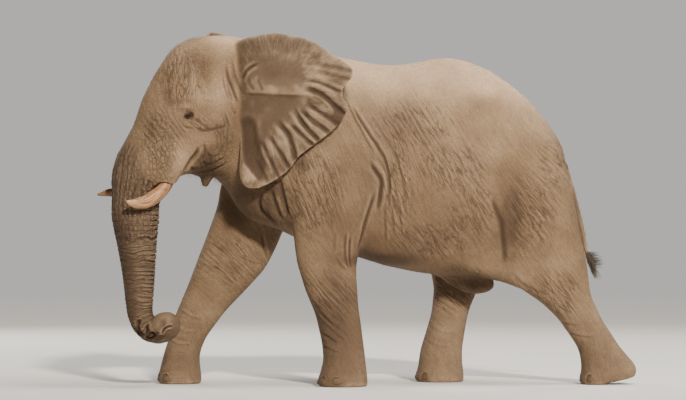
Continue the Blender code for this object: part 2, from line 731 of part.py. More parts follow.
def ellipsoid(name, centre, axes, radii, segments, rings):
    """A ball squashed along three axes, given as columns."""
    made = bmesh.new()
    bmesh.ops.create_uvsphere(made, u_segments=segments, v_segments=rings, radius=1.0)
    for v in made.verts:
        local = Vector((v.co.x * radii[0], v.co.y * radii[1], v.co.z * radii[2]))
        v.co = axes @ local + Vector(centre)
    bmesh.ops.triangulate(made, faces=made.faces)
    mesh = bpy.data.meshes.new(name)
    made.to_mesh(mesh)
    made.free()
    obj = bpy.data.objects.new(name, mesh)
    bpy.context.scene.collection.objects.link(obj)
    return obj


def largest_of(obj):
    """The object's largest body, with any crumbs that a cut left thrown away."""
    bodies = islands(obj)
    bpy.data.objects.remove(obj)
    for crumb in bodies[1:]:
        bpy.data.objects.remove(crumb)
    return bodies[0]


def seat(pieces, host, guest):
    """Makes room in a flesh piece for a hard part that sits in it."""
    carve(pieces[host], grown(guest, SEAT_GAP, "room"))
    pieces[host] = largest_of(pieces[host])
    pieces[guest.name] = guest


def add_eyes(pieces):
    for side, name in ((-1, "eye_left"), (1, "eye_right")):
        x, y, z = EYE_AT
        outside = turned(np.array([(x, side * 0.9, z)]))[0]
        inside = turned(np.array([(x, 0.0, z)]))[0]
        place, _ = surface_point(pieces["head"], outside, inside - outside)
        inward = Vector(inside - outside).normalized()
        centre = place + inward * (EYE_RADIUS - EYE_SHOWS)
        eye = ellipsoid(name, centre, Matrix.Identity(3), (EYE_RADIUS,) * 3, 10, 6)
        seat(pieces, "head", eye)


def add_tusks(pieces):
    for side, name in ((-1, "tusk_left"), (1, "tusk_right")):
        rows = [(x, side * y, z, r, r) for x, y, z, r in TUSKS[side]]
        tusk = loft(name, [turned(r) for r in path_rings(rows, 2, 8)], bpy.context.scene.collection)
        seat(pieces, "head", tusk)


NAILS = {  # foot: (middle of the sole, the angles of its nails from straight ahead, nail size)
    "forefoot_left": ((-0.305, -0.415), (-66, -26, 14, 54), (0.052, 0.045, 0.024)),
    "forefoot_right": ((-2.000, 0.415), (-54, -14, 26, 66), (0.052, 0.045, 0.024)),
    "hindfoot_left": ((2.480, -0.372), (-42, 0, 42), (0.050, 0.045, 0.022)),
    "hindfoot_right": ((0.850, 0.382), (-42, 0, 42), (0.050, 0.043, 0.022)),
}


def add_nails(pieces):
    for foot, ((x, y), angles, (wide, tall, thick)) in NAILS.items():
        for number, angle in enumerate(angles, 1):
            turn = math.radians(angle)
            ahead = Vector((-math.cos(turn), math.sin(turn), 0.0))
            middle = Vector((x, y, 0.062))
            place, normal = surface_point(pieces[foot], middle + ahead * 0.8, -ahead)
            out = Vector((ahead.x, ahead.y, max(normal.z, 0.0) * 0.9)).normalized()
            across = Vector((0, 0, 1)).cross(out).normalized()
            axes = Matrix((across, out.cross(across), out)).transposed()
            centre = place - out * thick * 0.45
            nail = ellipsoid(f"nail_{foot}_{number}", centre, axes, (wide, tall, thick), 7, 4)
            seat(pieces, foot, nail)


def add_tail(pieces, flesh):
    tail = loft("tail", path_rings(TAIL, 1, 8), bpy.context.scene.collection)
    carve(tail, grown(flesh, SEAT_GAP, "room"))
    bodies = islands(tail)
    bpy.data.objects.remove(tail)
    lowest = min(bodies, key=lambda b: centre_of(b)[2])
    for body in bodies:
        if body != lowest:
            bpy.data.objects.remove(body)
    pieces["tail"] = lowest
    tuft = loft("tail_tuft", path_rings(TUFT, 1, 8), bpy.context.scene.collection)
    carve(tuft, grown(lowest, SEAT_GAP, "room"))
    pieces["tail_tuft"] = largest_of(tuft)


# --- the cuts between named pieces -------------------------------------------------------------

HEADWISE = HEAD_TURN
CUTS = (  # piece cut, new piece, middle of the cut, the way it faces, half sizes, turn, a point in the new
    ("chest", "head", (-1.16, 0.0, 2.80), (-0.889, 0.0, 0.457), (1.2, 1.3), 0.0, (-2.0, -0.2, 2.6)),
    ("head", "neck", (-1.44, 0.0, 2.98), (-0.958, 0.0, 0.287), (1.2, 1.3), HEADWISE, (-1.3, 0.0, 2.8)),
    ("head", "trunk_base", (-2.50, 0.0, 1.83), (-0.05, 0.0, 1.0), (0.6, 0.5), HEADWISE,
     (-2.5, -0.3, 1.2)),
    ("head", "lower_jaw", (-1.80, 0.0, 2.297), (-0.457, 0.0, 0.889), (0.6, 0.32), HEADWISE,
     (-1.75, -0.15, 2.2)),
    ("trunk_base", "trunk_upper", (-2.50, 0.0, 1.52), (-0.04, 0.0, 1.0), (0.5, 0.5), HEADWISE,
     (-2.5, -0.3, 1.0)),
    ("trunk_upper", "trunk_middle", (-2.48, 0.0, 1.20), (-0.04, 0.0, 1.0), (0.5, 0.5), HEADWISE,
     (-2.45, -0.3, 0.8)),
    ("trunk_middle", "trunk_lower", (-2.47, 0.0, 0.89), (0.03, 0.0, 1.0), (0.4, 0.4), HEADWISE,
     (-2.4, -0.3, 0.6)),
    ("trunk_lower", "trunk_tip", (-2.33, -0.13, 0.62), (0.43, -0.90, 0.0), (0.36, 0.24), HEADWISE,
     (-2.1, -0.5, 0.62)),
    ("chest", "rump", (0.83, 0.0, 2.30), (0.989, 0.0, -0.148), (1.2, 1.5), 0.0, (1.6, 0.0, 1.7)),
    ("chest", "barrel", (0.14, 0.0, 2.30), (1.0, 0.0, 0.02), (1.2, 1.5), 0.0, (0.5, 0.0, 2.3)),
    ("chest", "foreleg_left_upper", (-0.45, -0.60, 1.39), (0.322, 0.0, 0.947), (0.52, 0.62), 0.0,
     (-0.4, -0.4, 0.7)),
    ("chest", "foreleg_right_upper", (-1.28, 0.60, 1.52), (-0.04, 0.0, 1.0), (0.52, 0.62), 0.0,
     (-1.7, 0.4, 0.7)),
    ("foreleg_left_upper", "foreleg_left_lower", (-0.40, -0.42, 0.90), (0.16, 0.0, 1.0), (0.5, 0.5), 0.0,
     (-0.3, -0.4, 0.3)),
    ("foreleg_left_lower", "forefoot_left", (-0.30, -0.42, 0.27), (0.05, 0.0, 1.0), (0.5, 0.5), 0.0,
     (-0.3, -0.4, 0.1)),
    ("foreleg_right_upper", "foreleg_right_lower", (-1.61, 0.42, 0.96), (0.50, 0.0, 0.87), (0.5, 0.6), 0.0,
     (-1.9, 0.4, 0.3)),
    ("foreleg_right_lower", "forefoot_right", (-1.94, 0.42, 0.27), (0.10, 0.0, 1.0), (0.5, 0.5), 0.0,
     (-2.0, 0.4, 0.1)),
    ("rump", "hindleg_left_upper", (1.87, -0.55, 1.355), (-0.438, 0.0, 0.899), (0.50, 0.62), 0.0,
     (2.3, -0.4, 0.7)),
    ("rump", "hindleg_right_upper", (1.05, 0.58, 1.075), (0.03, 0.0, 1.0), (0.44, 0.46), 0.0,
     (0.9, 0.4, 0.5)),
    ("rump", "belly_sheath", (1.18, 0.0, 1.105), (0.05, 0.0, 1.0), (0.12, 0.40), 0.0, (1.2, 0.0, 1.0)),
    ("hindleg_left_upper", "hindleg_left_lower", (2.17, -0.40, 0.80), (-0.50, 0.0, 0.87), (0.5, 0.5), 0.0,
     (2.5, -0.4, 0.3)),
    ("hindleg_left_lower", "hindfoot_left", (2.50, -0.40, 0.285), (-0.15, 0.0, 1.0), (0.5, 0.5), 0.0,
     (2.55, -0.4, 0.1)),
    ("hindleg_right_upper", "hindleg_right_lower", (0.95, 0.40, 0.66), (0.10, 0.0, 1.0), (0.5, 0.5), 0.0,
     (0.9, 0.4, 0.3)),
    ("hindleg_right_lower", "hindfoot_right", (0.87, 0.40, 0.24), (0.03, 0.0, 1.0), (0.5, 0.5), 0.0,
     (0.85, 0.4, 0.1)),
)


def finished(name):
    """The material of a node, made once for each finish."""
    kind = next((word for word in FINISHES if word in name), "skin")
    material = bpy.data.materials.get(kind)
    if material is None:
        material = bpy.data.materials.new(kind)
        material.use_nodes = True
        colour, roughness = FINISHES[kind]
        shader = material.node_tree.nodes["Principled BSDF"]
        shader.inputs["Base Color"].default_value = (*colour, 1.0)
        shader.inputs["Roughness"].default_value = roughness
    return material


def main():
    global PLACED
    for obj in list(bpy.data.objects):
        bpy.data.objects.remove(obj)
    forms = bpy.data.collections.new("forms")
    bpy.context.scene.collection.children.link(forms)
    make_forms(forms)
    flesh = fused(forms, "flesh")
    for form in list(forms.objects):
        bpy.data.objects.remove(form)
    bpy.data.collections.remove(forms)
    relax(flesh.data, BLEND_PASSES)
    swell(flesh.data)
    relax(flesh.data, 2)
    set_corners(flesh.data, corners_of(flesh.data) + FULLNESS * normals_of(flesh.data))
    thinned(flesh, FLESH_TRIANGLES)
    floor = slab((0.0, 0.0, -0.5), (0.0, 0.0, 1.0), 3.0, 4.0, 1.0)
    carve(flesh, floor)

    pieces = {}
    for side, name in ((-1, "ear_left"), (1, "ear_right")):
        pieces[name] = largest_of(carve(make_ear(side, name), grown(flesh, SEAT_GAP, "room")))
    add_tail(pieces, flesh)
    pieces["chest"] = flesh
    for whole, new, middle, facing, (wide, tall), turn, near in CUTS:
        part_off(pieces, whole, new, slab(middle, facing, wide, tall, CUT, turn), near)
    add_eyes(pieces)
    add_tusks(pieces)
    add_nails(pieces)

    low = np.min([corners_of(p.data).min(0) for p in pieces.values()], axis=0)
    high = np.max([corners_of(p.data).max(0) for p in pieces.values()], axis=0)
    place = np.array((-(low[0] + high[0]) / 2, -(low[1] + high[1]) / 2, -low[2]))
    animal = bpy.data.collections.new("elephant")
    bpy.context.scene.collection.children.link(animal)
    for name, piece in pieces.items():
        set_corners(piece.data, corners_of(piece.data) + place)
        piece.name = name
        piece.data.name = name
        piece.data.materials.clear()
        piece.data.materials.append(finished(name))
        bpy.context.scene.collection.objects.unlink(piece)
        animal.objects.link(piece)
    for obj in list(bpy.data.objects):
        if obj.name not in pieces:
            bpy.data.objects.remove(obj)
    PLACED = tuple(place)


if __name__ == "__main__":
    main()
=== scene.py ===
"""The looks of a still, life-size savanna elephant bull: hide, tusks, eyes, nails, hair, studio.

Everything is in metres. The bull faces -X, his own left side is -Y, and the floor is z = 0. Two
sets of coordinates are used beside the frame's: the body's, whose Y = 0 is the bull's own middle,
and the head's, which is the body's with the head swung back to look straight ahead.
"""

import json
import math

import bpy
import numpy as np
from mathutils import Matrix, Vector

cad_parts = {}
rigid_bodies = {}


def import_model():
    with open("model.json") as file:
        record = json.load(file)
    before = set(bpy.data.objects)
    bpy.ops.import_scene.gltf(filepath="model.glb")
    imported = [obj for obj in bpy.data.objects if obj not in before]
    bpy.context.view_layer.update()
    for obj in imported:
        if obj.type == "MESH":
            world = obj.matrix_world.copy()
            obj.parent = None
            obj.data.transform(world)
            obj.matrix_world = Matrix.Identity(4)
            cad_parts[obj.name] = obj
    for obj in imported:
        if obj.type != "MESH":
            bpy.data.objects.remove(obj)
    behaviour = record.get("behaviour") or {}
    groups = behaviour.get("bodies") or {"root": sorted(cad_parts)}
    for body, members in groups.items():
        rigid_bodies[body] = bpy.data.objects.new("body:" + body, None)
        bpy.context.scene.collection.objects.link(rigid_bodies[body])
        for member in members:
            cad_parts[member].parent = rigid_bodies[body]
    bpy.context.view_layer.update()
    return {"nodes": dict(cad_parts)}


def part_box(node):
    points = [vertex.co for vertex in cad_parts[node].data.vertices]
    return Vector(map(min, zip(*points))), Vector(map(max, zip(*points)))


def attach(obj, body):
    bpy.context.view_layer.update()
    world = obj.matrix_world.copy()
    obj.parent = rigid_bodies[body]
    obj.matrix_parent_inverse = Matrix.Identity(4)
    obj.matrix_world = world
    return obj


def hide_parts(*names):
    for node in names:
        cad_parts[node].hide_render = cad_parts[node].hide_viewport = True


bl_info = {
    "name": "Savanna Elephant Bull",
    "version": (1, 0, 0),
    "blender": (4, 5, 0),
    "location": "3D View > Sidebar > Elephant",
    "description": "Dresses a walking elephant bull with hide, ivory, eyes, nails and hair",
    "category": "Object",
}

for leftover in list(bpy.data.objects):
    bpy.data.objects.remove(leftover)
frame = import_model()

# --- where the bull stands ---------------------------------------------------------------------


def middle_of(node):
    low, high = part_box(node)
    return (np.array(low) + np.array(high)) / 2


EYE_LEFT, EYE_RIGHT = middle_of("eye_left"), middle_of("eye_right")
ACROSS_EYES = EYE_RIGHT - EYE_LEFT
HEAD_TURN = math.atan2(-ACROSS_EYES[0], ACROSS_EYES[1])
NECK_PIVOT = np.array((-1.15, 0.0, 0.0))
EYES_AHEAD = 0.91  # the eyes' line, forward of the neck's pivot
EYE_HEIGHT = 2.811
SIDES = {-1: "left", 1: "right"}  # the bull's own sides, by the sign of Y
FAR_OFF = 9.0  # further than any place of the bull


def swung(points, turn):
    c, s = math.cos(turn), math.sin(turn)
    x, y, z = np.moveaxis(np.asarray(points, float) - NECK_PIVOT, -1, 0)
    return np.stack([c * x - s * y, s * x + c * y, z], -1) + NECK_PIVOT


STANDS_AT = (EYE_LEFT + EYE_RIGHT) / 2 - swung(
    (NECK_PIVOT[0] - EYES_AHEAD, 0.0, EYE_HEIGHT), HEAD_TURN)


def to_body(points):
    return np.asarray(points, float) - STANDS_AT


def to_head(points):
    return swung(to_body(points), -HEAD_TURN)


def from_body(points):
    return points + STANDS_AT


def from_head(points):
    return swung(points, HEAD_TURN) + STANDS_AT


def turned(vectors, turn):
    """Directions swung with the head, by its turn, or back, by minus its turn."""
    return swung(np.asarray(vectors, float) + NECK_PIVOT, turn) - NECK_PIVOT


def within(spots, x=(-FAR_OFF, FAR_OFF), y=(-FAR_OFF, FAR_OFF), z=(-FAR_OFF, FAR_OFF)):
    """Whether each place lies between the given limits along each axis."""
    low, high = np.array((x, y, z)).T
    return ((spots > low) & (spots < high)).all(1)


# --- small tools for curves and noise ----------------------------------------------------------


def unit(vector):
    return vector / np.linalg.norm(vector)


def units(rows):
    return rows / np.maximum(np.linalg.norm(rows, axis=1, keepdims=True), 1e-12)


def through(rows, steps):
    """A smooth run of rows through the given ones, with so many steps between each two."""
    rows = np.asarray(rows, float)
    padded = np.vstack([2 * rows[0] - rows[1], rows, 2 * rows[-1] - rows[-2]])
    out = []
    for i in range(1, len(padded) - 2):
        a, b, c, d = padded[i - 1:i + 3]
        for t in np.arange(steps) / steps:
            out.append(0.5 * (2 * b + (c - a) * t + (2 * a - 5 * b + 4 * c - d) * t**2
                              + (3 * b - a - 3 * c + d) * t**3))
    return np.array(out + [rows[-1]])


def through_ring(rows, steps):
    """The same for rows that close on themselves."""
    rows = np.asarray(rows, float)
    closed = np.vstack([rows[-2:], rows, rows[:2]])
    return through(closed, steps)[2 * steps:(2 + len(rows)) * steps]


def ease(value, low, high):
    """0 below low, 1 above high, and a smooth rise between."""
    t = np.clip((np.asarray(value, float) - low) / (high - low), 0, 1)
    return t * t * (3 - 2 * t)


def hill(value, width):
    return np.exp(-(np.asarray(value, float) / width) ** 2)


NOISE_COUNT = 1 << 16
NOISE_TABLE = np.random.default_rng(11).uniform(-1, 1, NOISE_COUNT)
SCATTER = (73856093, 19349663, 83492791)  # primes that scatter neighbouring cells over the table


def lattice(cells):
    """The place of each cell (three whole numbers) in the noise table."""
    i, j, k = (cells * SCATTER).T
    return (i ^ j ^ k) & (NOISE_COUNT - 1)


def noise(points, size, seed=0):
    """Smooth noise from -1 to 1 whose grain has the given size (one number, or one per axis)."""
    cell = np.asarray(points, float) / size + 17.31 * seed
    base = np.floor(cell).astype(np.int64)
    part = cell - base
    part = part * part * (3 - 2 * part)
    total = np.zeros(len(cell))
    for corner in np.ndindex(2, 2, 2):
        i, j, k = np.where(corner, part, 1 - part).T
        total += i * j * k * NOISE_TABLE[lattice(base + corner)]
    return total


def flat_noise(flat, size, seed):
    """The same for flat places, whose size has two numbers."""
    return noise(np.c_[flat, np.zeros(len(flat))], (*size, 1.0), seed)


def cobbles(points, size, seed=0):
    """0 in the seams between rounded cells and up to 1 in the middle of each."""
    cell = np.asarray(points, float) / size + 5.7 * seed
    base = np.floor(cell).astype(np.int64)
    first = second = np.full(len(cell), FAR_OFF)
    for corner in np.ndindex(3, 3, 3):
        corner = base + corner - 1
        key = lattice(corner)
        seat = np.stack([NOISE_TABLE[(key + n) & (NOISE_COUNT - 1)] for n in (0, 7, 19)], -1)
        away = np.sqrt((((corner + (seat * 0.42 + 0.5)) - cell) ** 2).sum(1))
        second = np.minimum(second, np.maximum(first, away))
        first = np.minimum(first, away)
    return np.clip((second - first) * 1.6, 0, 1)


def beside_line(flat, line, steps=8):
    """Distance of flat points from a bent line, signed by its side, and the share of its length."""
    run = through(line, steps)
    ahead = np.diff(run, axis=0)
    length = np.linalg.norm(ahead, axis=1)
    far = np.full(len(flat), np.inf)
    side = np.zeros(len(flat))
    share = np.zeros(len(flat))
    gone = 0.0
    for start, step, size in zip(run[:-1], ahead, length):
        rel = flat - start
        t = np.clip((rel @ step) / size**2, 0, 1)
        off = rel - t[:, None] * step
        away = np.hypot(off[:, 0], off[:, 1])
        near = away < far
        far[near] = away[near]
        turn = step[0] * off[:, 1] - step[1] * off[:, 0]
        side[near] = np.sign(turn[near])
        share[near] = (gone + t[near] * size) / length.sum()
        gone += size
    return far * np.where(side == 0, 1, side), share


# --- small tools for meshes --------------------------------------------------------------------


def corners_of(mesh):
    points = np.empty(len(mesh.vertices) * 3)
    mesh.vertices.foreach_get("co", points)
    return points.reshape(-1, 3)


def triangles_of(mesh):
    mesh.calc_loop_triangles()
    tris = np.empty(len(mesh.loop_triangles) * 3, np.int32)
    mesh.loop_triangles.foreach_get("vertices", tris)
    return tris.reshape(-1, 3).astype(np.int64)


def mesh_from(name, points, faces):
    """A mesh of triangles (an array) or of mixed faces (a list)."""
    mesh = bpy.data.meshes.new(name)
    if isinstance(faces, list):
        mesh.from_pydata([tuple(p) for p in points], [], faces)
    else:
        mesh.vertices.add(len(points))
        mesh.vertices.foreach_set("co", np.asarray(points, np.float32).ravel())
        mesh.loops.add(faces.size)
        mesh.loops.foreach_set("vertex_index", faces.astype(np.int32).ravel())
        mesh.polygons.add(len(faces))
        starts = np.arange(0, faces.size, faces.shape[1], dtype=np.int32)
        mesh.polygons.foreach_set("loop_start", starts)
    mesh.update(calc_edges=True)
    mesh.shade_smooth()
    return mesh


def linked(name, data):
    obj = bpy.data.objects.new(name, data)
    bpy.context.scene.collection.objects.link(obj)
    return obj


def piece_from(name, mesh, *materials):
    for material in materials:
        mesh.materials.append(material)
    return linked(name, mesh)


def write_map(mesh, flat):
    """Stores one flat place for each vertex as the mesh's OFBake map."""
    layer = mesh.uv_layers.new(name="OFBake")
    users = np.empty(len(mesh.loops), np.int32)
    mesh.loops.foreach_get("vertex_index", users)
    layer.uv.foreach_set("vector", np.asarray(flat, np.float32)[users].ravel())


def normals_at(points, tris):
    a, b, c = points[tris[:, 0]], points[tris[:, 1]], points[tris[:, 2]]
    face = np.cross(b - a, c - a)
    out = np.zeros_like(points)
    for axis in range(3):
        for corner in range(3):
            out[:, axis] += np.bincount(tris[:, corner], face[:, axis], len(points))
    return units(out)


class Links:
    """Which vertices of a mesh of triangles touch which."""

    def __init__(self, tris, count):
        pairs = np.vstack([tris[:, (0, 1)], tris[:, (1, 2)], tris[:, (2, 0)]])
        keys = np.unique(pairs.min(1) * count + pairs.max(1))
        self.a, self.b = keys // count, keys % count
        self.size = count
        self.degree = np.maximum(np.bincount(self.a, minlength=count)
                                 + np.bincount(self.b, minlength=count), 1)

    def mean(self, values):
        if values.ndim == 2:
            return np.stack([self.mean(values[:, i]) for i in range(values.shape[1])], -1)
        total = (np.bincount(self.a, values[self.b], self.size)
                 + np.bincount(self.b, values[self.a], self.size))
        return total / self.degree

    def soft(self, values, passes):
        for _ in range(passes):
            values = 0.5 * values + 0.5 * self.mean(values)
        return values

    def rounded(self, points, passes, most):
        """Points smoothed without shrinking the form, none of them moved further than most."""
        soft = self.soft(points, passes)
        soft = soft + self.soft(points - soft, passes)
        move = soft - points
        size = np.linalg.norm(move, axis=1, keepdims=True)
        return points + move * np.minimum(1, most / np.maximum(size, 1e-9))


def refined(points, tris, marked):
    """Splits the marked triangles in four and mends their neighbours."""
    count = len(points)
    sides = np.stack([tris, np.roll(tris, -1, axis=1)], -1)
    keys = sides.min(2) * count + sides.max(2)
    wanted = np.unique(keys[marked])
    place = np.searchsorted(wanted, keys)
    place[place == len(wanted)] = 0
    cut = wanted[place] == keys
    middle = count + place
    a, b = wanted // count, wanted % count
    points = np.vstack([points, (points[a] + points[b]) / 2])
    cuts = cut.sum(1)
    kept = [tris[cuts == 0]]

    def add(t, m, *rows):
        """Triangles of corners (0 to 2) and of the middles of the sides after them (3 to 5)."""
        both = np.concatenate([t, m], 1)
        kept.extend(both[:, row] for row in rows)

    whole = cuts == 3
    add(tris[whole], middle[whole], (0, 3, 5), (3, 1, 4), (5, 4, 2), (3, 4, 5))
    for turn in range(3):
        t, c, m = (np.roll(rows, -turn, axis=1) for rows in (tris, cut, middle))
        one = (cuts == 1) & c[:, 0]
        add(t[one], m[one], (0, 3, 2), (3, 1, 2))
        two = (cuts == 2) & ~c[:, 2]
        add(t[two], m[two], (3, 1, 4), (0, 3, 4), (0, 4, 2))
    return points, np.vstack(kept)


def skinned(meshes, grain):
    """One closed skin of triangles round several closed meshes."""
    starts = np.cumsum([0] + [len(points) for points, _ in meshes])
    points = np.vstack([points for points, _ in meshes])
    tris = np.vstack([tris + start for (_, tris), start in zip(meshes, starts)])
    lump = piece_from("lump", mesh_from("lump", points, tris))
    remesh = lump.modifiers.new("skin", "REMESH")
    remesh.mode, remesh.voxel_size = "VOXEL", grain
    skin = lump.evaluated_get(bpy.context.evaluated_depsgraph_get())
    mesh = skin.to_mesh()
    points, tris = corners_of(mesh), triangles_of(mesh)
    skin.to_mesh_clear()
    bpy.data.meshes.remove(lump.data)
    return points, tris


def pairs_round(around):
    """Each number of a ring and the next one."""
    return [(j, (j + 1) % around) for j in range(around)]


def band_faces(start, bands, around):
    """Faces of so many bands between rings of vertices, from the given vertex on."""
    rows = range(start, start + bands * around, around)
    return [face for a in rows for j, k in pairs_round(around)
            for face in ((a + j, a + k, a + around + k), (a + j, a + around + k, a + around + j))]


def ring_faces(rings, around):
    """Faces of a tube of rings, and fans to two further vertices that close its ends."""
    faces = band_faces(0, rings - 1, around)
    last, hub = (rings - 1) * around, rings * around
    for j, k in pairs_round(around):
        faces += [(hub, k, j), (hub + 1, last + j, last + k)]
    return np.array(faces, np.int64)


def around_circle(count):
    return np.arange(count) * 2 * math.pi / count


def tube(rows, steps, around):
    """A closed tube through rows of (x, y, z, radius)."""
    run = through(rows, steps)
    ahead = np.gradient(run[:, :3], axis=0)
    turn = around_circle(around)
    rings = []
    for row, direction in zip(run, ahead):
        direction = unit(direction)
        side = unit(np.cross(direction, (0.1, 0.2, 1.0)))
        up = np.cross(side, direction)
        rings.append(row[:3] + row[3] * (np.outer(np.cos(turn), up) + np.outer(np.sin(turn), side)))
    points = np.vstack([*rings, run[0, :3], run[-1, :3]])
    return points, ring_faces(len(run), around), run


# --- the forms that the hide is drawn over -----------------------------------------------------

TUSK_ROWS = {  # head's coordinates and radius, y as on his right, from the buried root to the tip
    -1: (
        (-2.165, 0.245, 2.3, 0.045), (-2.2, 0.252, 2.21, 0.053), (-2.245, 0.264, 2.125, 0.06),
        (-2.312, 0.278, 2.042, 0.068), (-2.415, 0.302, 1.965, 0.073), (-2.515, 0.33, 1.92, 0.067),
        (-2.605, 0.354, 1.905, 0.053), (-2.68, 0.378, 1.912, 0.031), (-2.728, 0.395, 1.926, 0.01),
    ),
    1: (
        (-2.15, 0.25, 2.3, 0.046), (-2.195, 0.256, 2.21, 0.054), (-2.26, 0.27, 2.12, 0.062),
        (-2.35, 0.298, 2.055, 0.067), (-2.46, 0.338, 2.03, 0.064), (-2.57, 0.382, 2.03, 0.054),
        (-2.67, 0.422, 2.028, 0.04), (-2.742, 0.448, 2.014, 0.023), (-2.784, 0.462, 2.004, 0.008),
    ),
}
TRUNK_ROWS = (  # head's coordinates: x, y, z, radius
    (-2.3, 0.0, 2.66, 0.2), (-2.42, 0.0, 2.38, 0.235), (-2.485, 0.0, 2.12, 0.25),
    (-2.508, 0.0, 1.95, 0.25), (-2.515, 0.0, 1.8, 0.246), (-2.497, 0.0, 1.5, 0.21),
    (-2.475, 0.0, 1.21, 0.176), (-2.469, 0.0, 0.915, 0.149), (-2.46, 0.0, 0.768, 0.137),
    (-2.425, -0.005, 0.66, 0.129), (-2.355, -0.02, 0.59, 0.124), (-2.27, -0.05, 0.568, 0.12),
    (-2.205, -0.11, 0.6, 0.117), (-2.2, -0.185, 0.65, 0.117), (-2.265, -0.245, 0.68, 0.111),
    (-2.33, -0.275, 0.672, 0.09),
)
TAIL_ROWS = (  # body's coordinates: x, z
    (2.02, 2.5), (2.14, 2.32), (2.215, 2.1), (2.275, 1.88), (2.345, 1.64), (2.395, 1.42),
    (2.42, 1.3),
)
EAR_RIM = (  # back from the ear's root, height
    (-0.03, 3.566), (0.079, 3.624), (0.228, 3.66), (0.356, 3.681), (0.475, 3.684), (0.594, 3.658),
    (0.73, 3.63), (0.872, 3.56), (1.0, 3.462), (1.11, 3.385), (1.195, 3.3), (1.172, 3.2),
    (1.089, 3.108), (1.079, 3.001), (1.134, 2.923), (1.104, 2.825), (1.02, 2.709), (0.891, 2.592),
    (0.772, 2.504), (0.634, 2.397), (0.554, 2.29), (0.446, 2.192), (0.317, 2.114), (0.183, 2.061),
    (0.069, 2.075), (0.005, 2.173), (0.0, 2.338), (0.01, 2.523), (0.01, 2.718), (0.0, 2.913),
    (-0.01, 3.108), (-0.02, 3.303), (-0.03, 3.449),
)
EAR_HUB = np.array((0.3, 2.98))
EAR_ROOT_X = {-1: -1.52, 1: -1.66}
EAR_TILT = {-1: 0.0, 1: math.radians(12.0)}
EAR_ROOT_Y = ((2.0, 2.4, 2.8, 3.1, 3.45, 3.75), (0.44, 0.43, 0.44, 0.43, 0.36, 0.25))
EAR_FLARE = {-1: math.radians(22.0), 1: math.radians(50.0)}
EAR_STAND = {-1: 0.125, 1: 0.05}
EAR_THICK_ROOT, EAR_THICK_RIM = 0.034, 0.017
EAR_PLEATS = (  # grooves that fan out over the ear: half width, depth, line (back, height)
    (0.018, 0.01, ((0.62, 3.34), (0.9, 3.34), (1.19, 3.27))),
    (0.016, 0.009, ((0.74, 3.26), (0.95, 3.24), (1.16, 3.18))),
    (0.02, 0.02, ((0.64, 3.17), (0.84, 3.15), (1.04, 3.07))),
    (0.026, 0.034, ((0.62, 3.12), (0.86, 3.03), (1.03, 2.88), (1.11, 2.8))),
    (0.018, 0.022, ((0.66, 2.97), (0.84, 2.85), (1.03, 2.7))),
    (0.02, 0.03, ((0.6, 2.9), (0.77, 2.76), (0.94, 2.62))),
    (0.022, 0.032, ((0.54, 2.92), (0.66, 2.74), (0.83, 2.54))),
    (0.018, 0.024, ((0.48, 2.78), (0.62, 2.64), (0.77, 2.5))),
    (0.026, 0.036, ((0.38, 2.78), (0.5, 2.6), (0.59, 2.34))),
    (0.018, 0.026, ((0.28, 2.64), (0.4, 2.46), (0.53, 2.27))),
    (0.016, 0.022, ((0.2, 2.58), (0.3, 2.4), (0.41, 2.17))),
    (0.014, 0.014, ((0.14, 2.4), (0.22, 2.26), (0.3, 2.12))),
    (0.014, 0.022, ((0.24, 3.35), (0.18, 3.345), (0.1, 3.28), (0.05, 3.2))),
    (0.012, 0.012, ((0.74, 3.03), (0.84, 2.98), (0.92, 2.9))),
    (0.01, 0.006, ((0.6, 3.47), (0.8, 3.46), (0.98, 3.4))),
    (0.012, 0.01, ((0.11, 3.22), (0.12, 3.14), (0.15, 3.08))),
    (0.012, 0.01, ((0.2, 3.22), (0.215, 3.14), (0.24, 3.08))),
    (0.01, 0.012, ((0.24, 2.46), (0.33, 2.3), (0.37, 2.16))),
)


EAR_TILT_HEIGHT = 3.1  # where an ear's tilt leaves it in place
EAR_BOW = 0.16  # how far back from the root the ear has left the neck
TILT = {side: (math.cos(tilt), math.sin(tilt)) for side, tilt in EAR_TILT.items()}


def ear_axes(side):
    """The way an ear runs back and the way its face looks, in the head's coordinates."""
    c, s = math.cos(EAR_FLARE[side]), math.sin(EAR_FLARE[side])
    return np.array((c, side * s, 0.0)), np.array((-s, side * c, 0.0))


def ear_place(back, height, side):
    """Points of the middle of an ear's sheet in the head's coordinates."""
    along, outward = ear_axes(side)
    c, s = TILT[side]
    rise = height - EAR_TILT_HEIGHT
    back, height = c * back - s * rise, s * back + c * rise + EAR_TILT_HEIGHT
    bow = EAR_STAND[side] * (1 - np.exp(-np.clip(back, 0, None) / EAR_BOW))
    place = np.outer(back, along) + np.outer(bow, outward)
    place[:, 0] += EAR_ROOT_X[side]
    place[:, 1] += side * np.interp(height, *EAR_ROOT_Y)
    place[:, 2] += height
    return place


EAR_RECESS = (  # the hollow behind the ear's front edge: heights, then its front and its rear
    (2.1, 2.22, 2.32, 2.48, 2.8), (0.24, 0.13, 0.055, 0.016, 0.006),
    (0.27, 0.262, 0.25, 0.21, 0.135),
)


def ear_recess(back, height):
    """How far a place lies in the shaded hollow behind the ear's front edge."""
    heights, fronts, rears = EAR_RECESS
    front, rear = np.interp(height, heights, fronts), np.interp(height, heights, rears)
    return ease(back - front, -0.01, 0.03) * (1 - ease(back - rear, -0.05, 0.055)) * (
        1 - ease(height, 2.7, 2.85)) * ease(height, 2.1, 2.2)


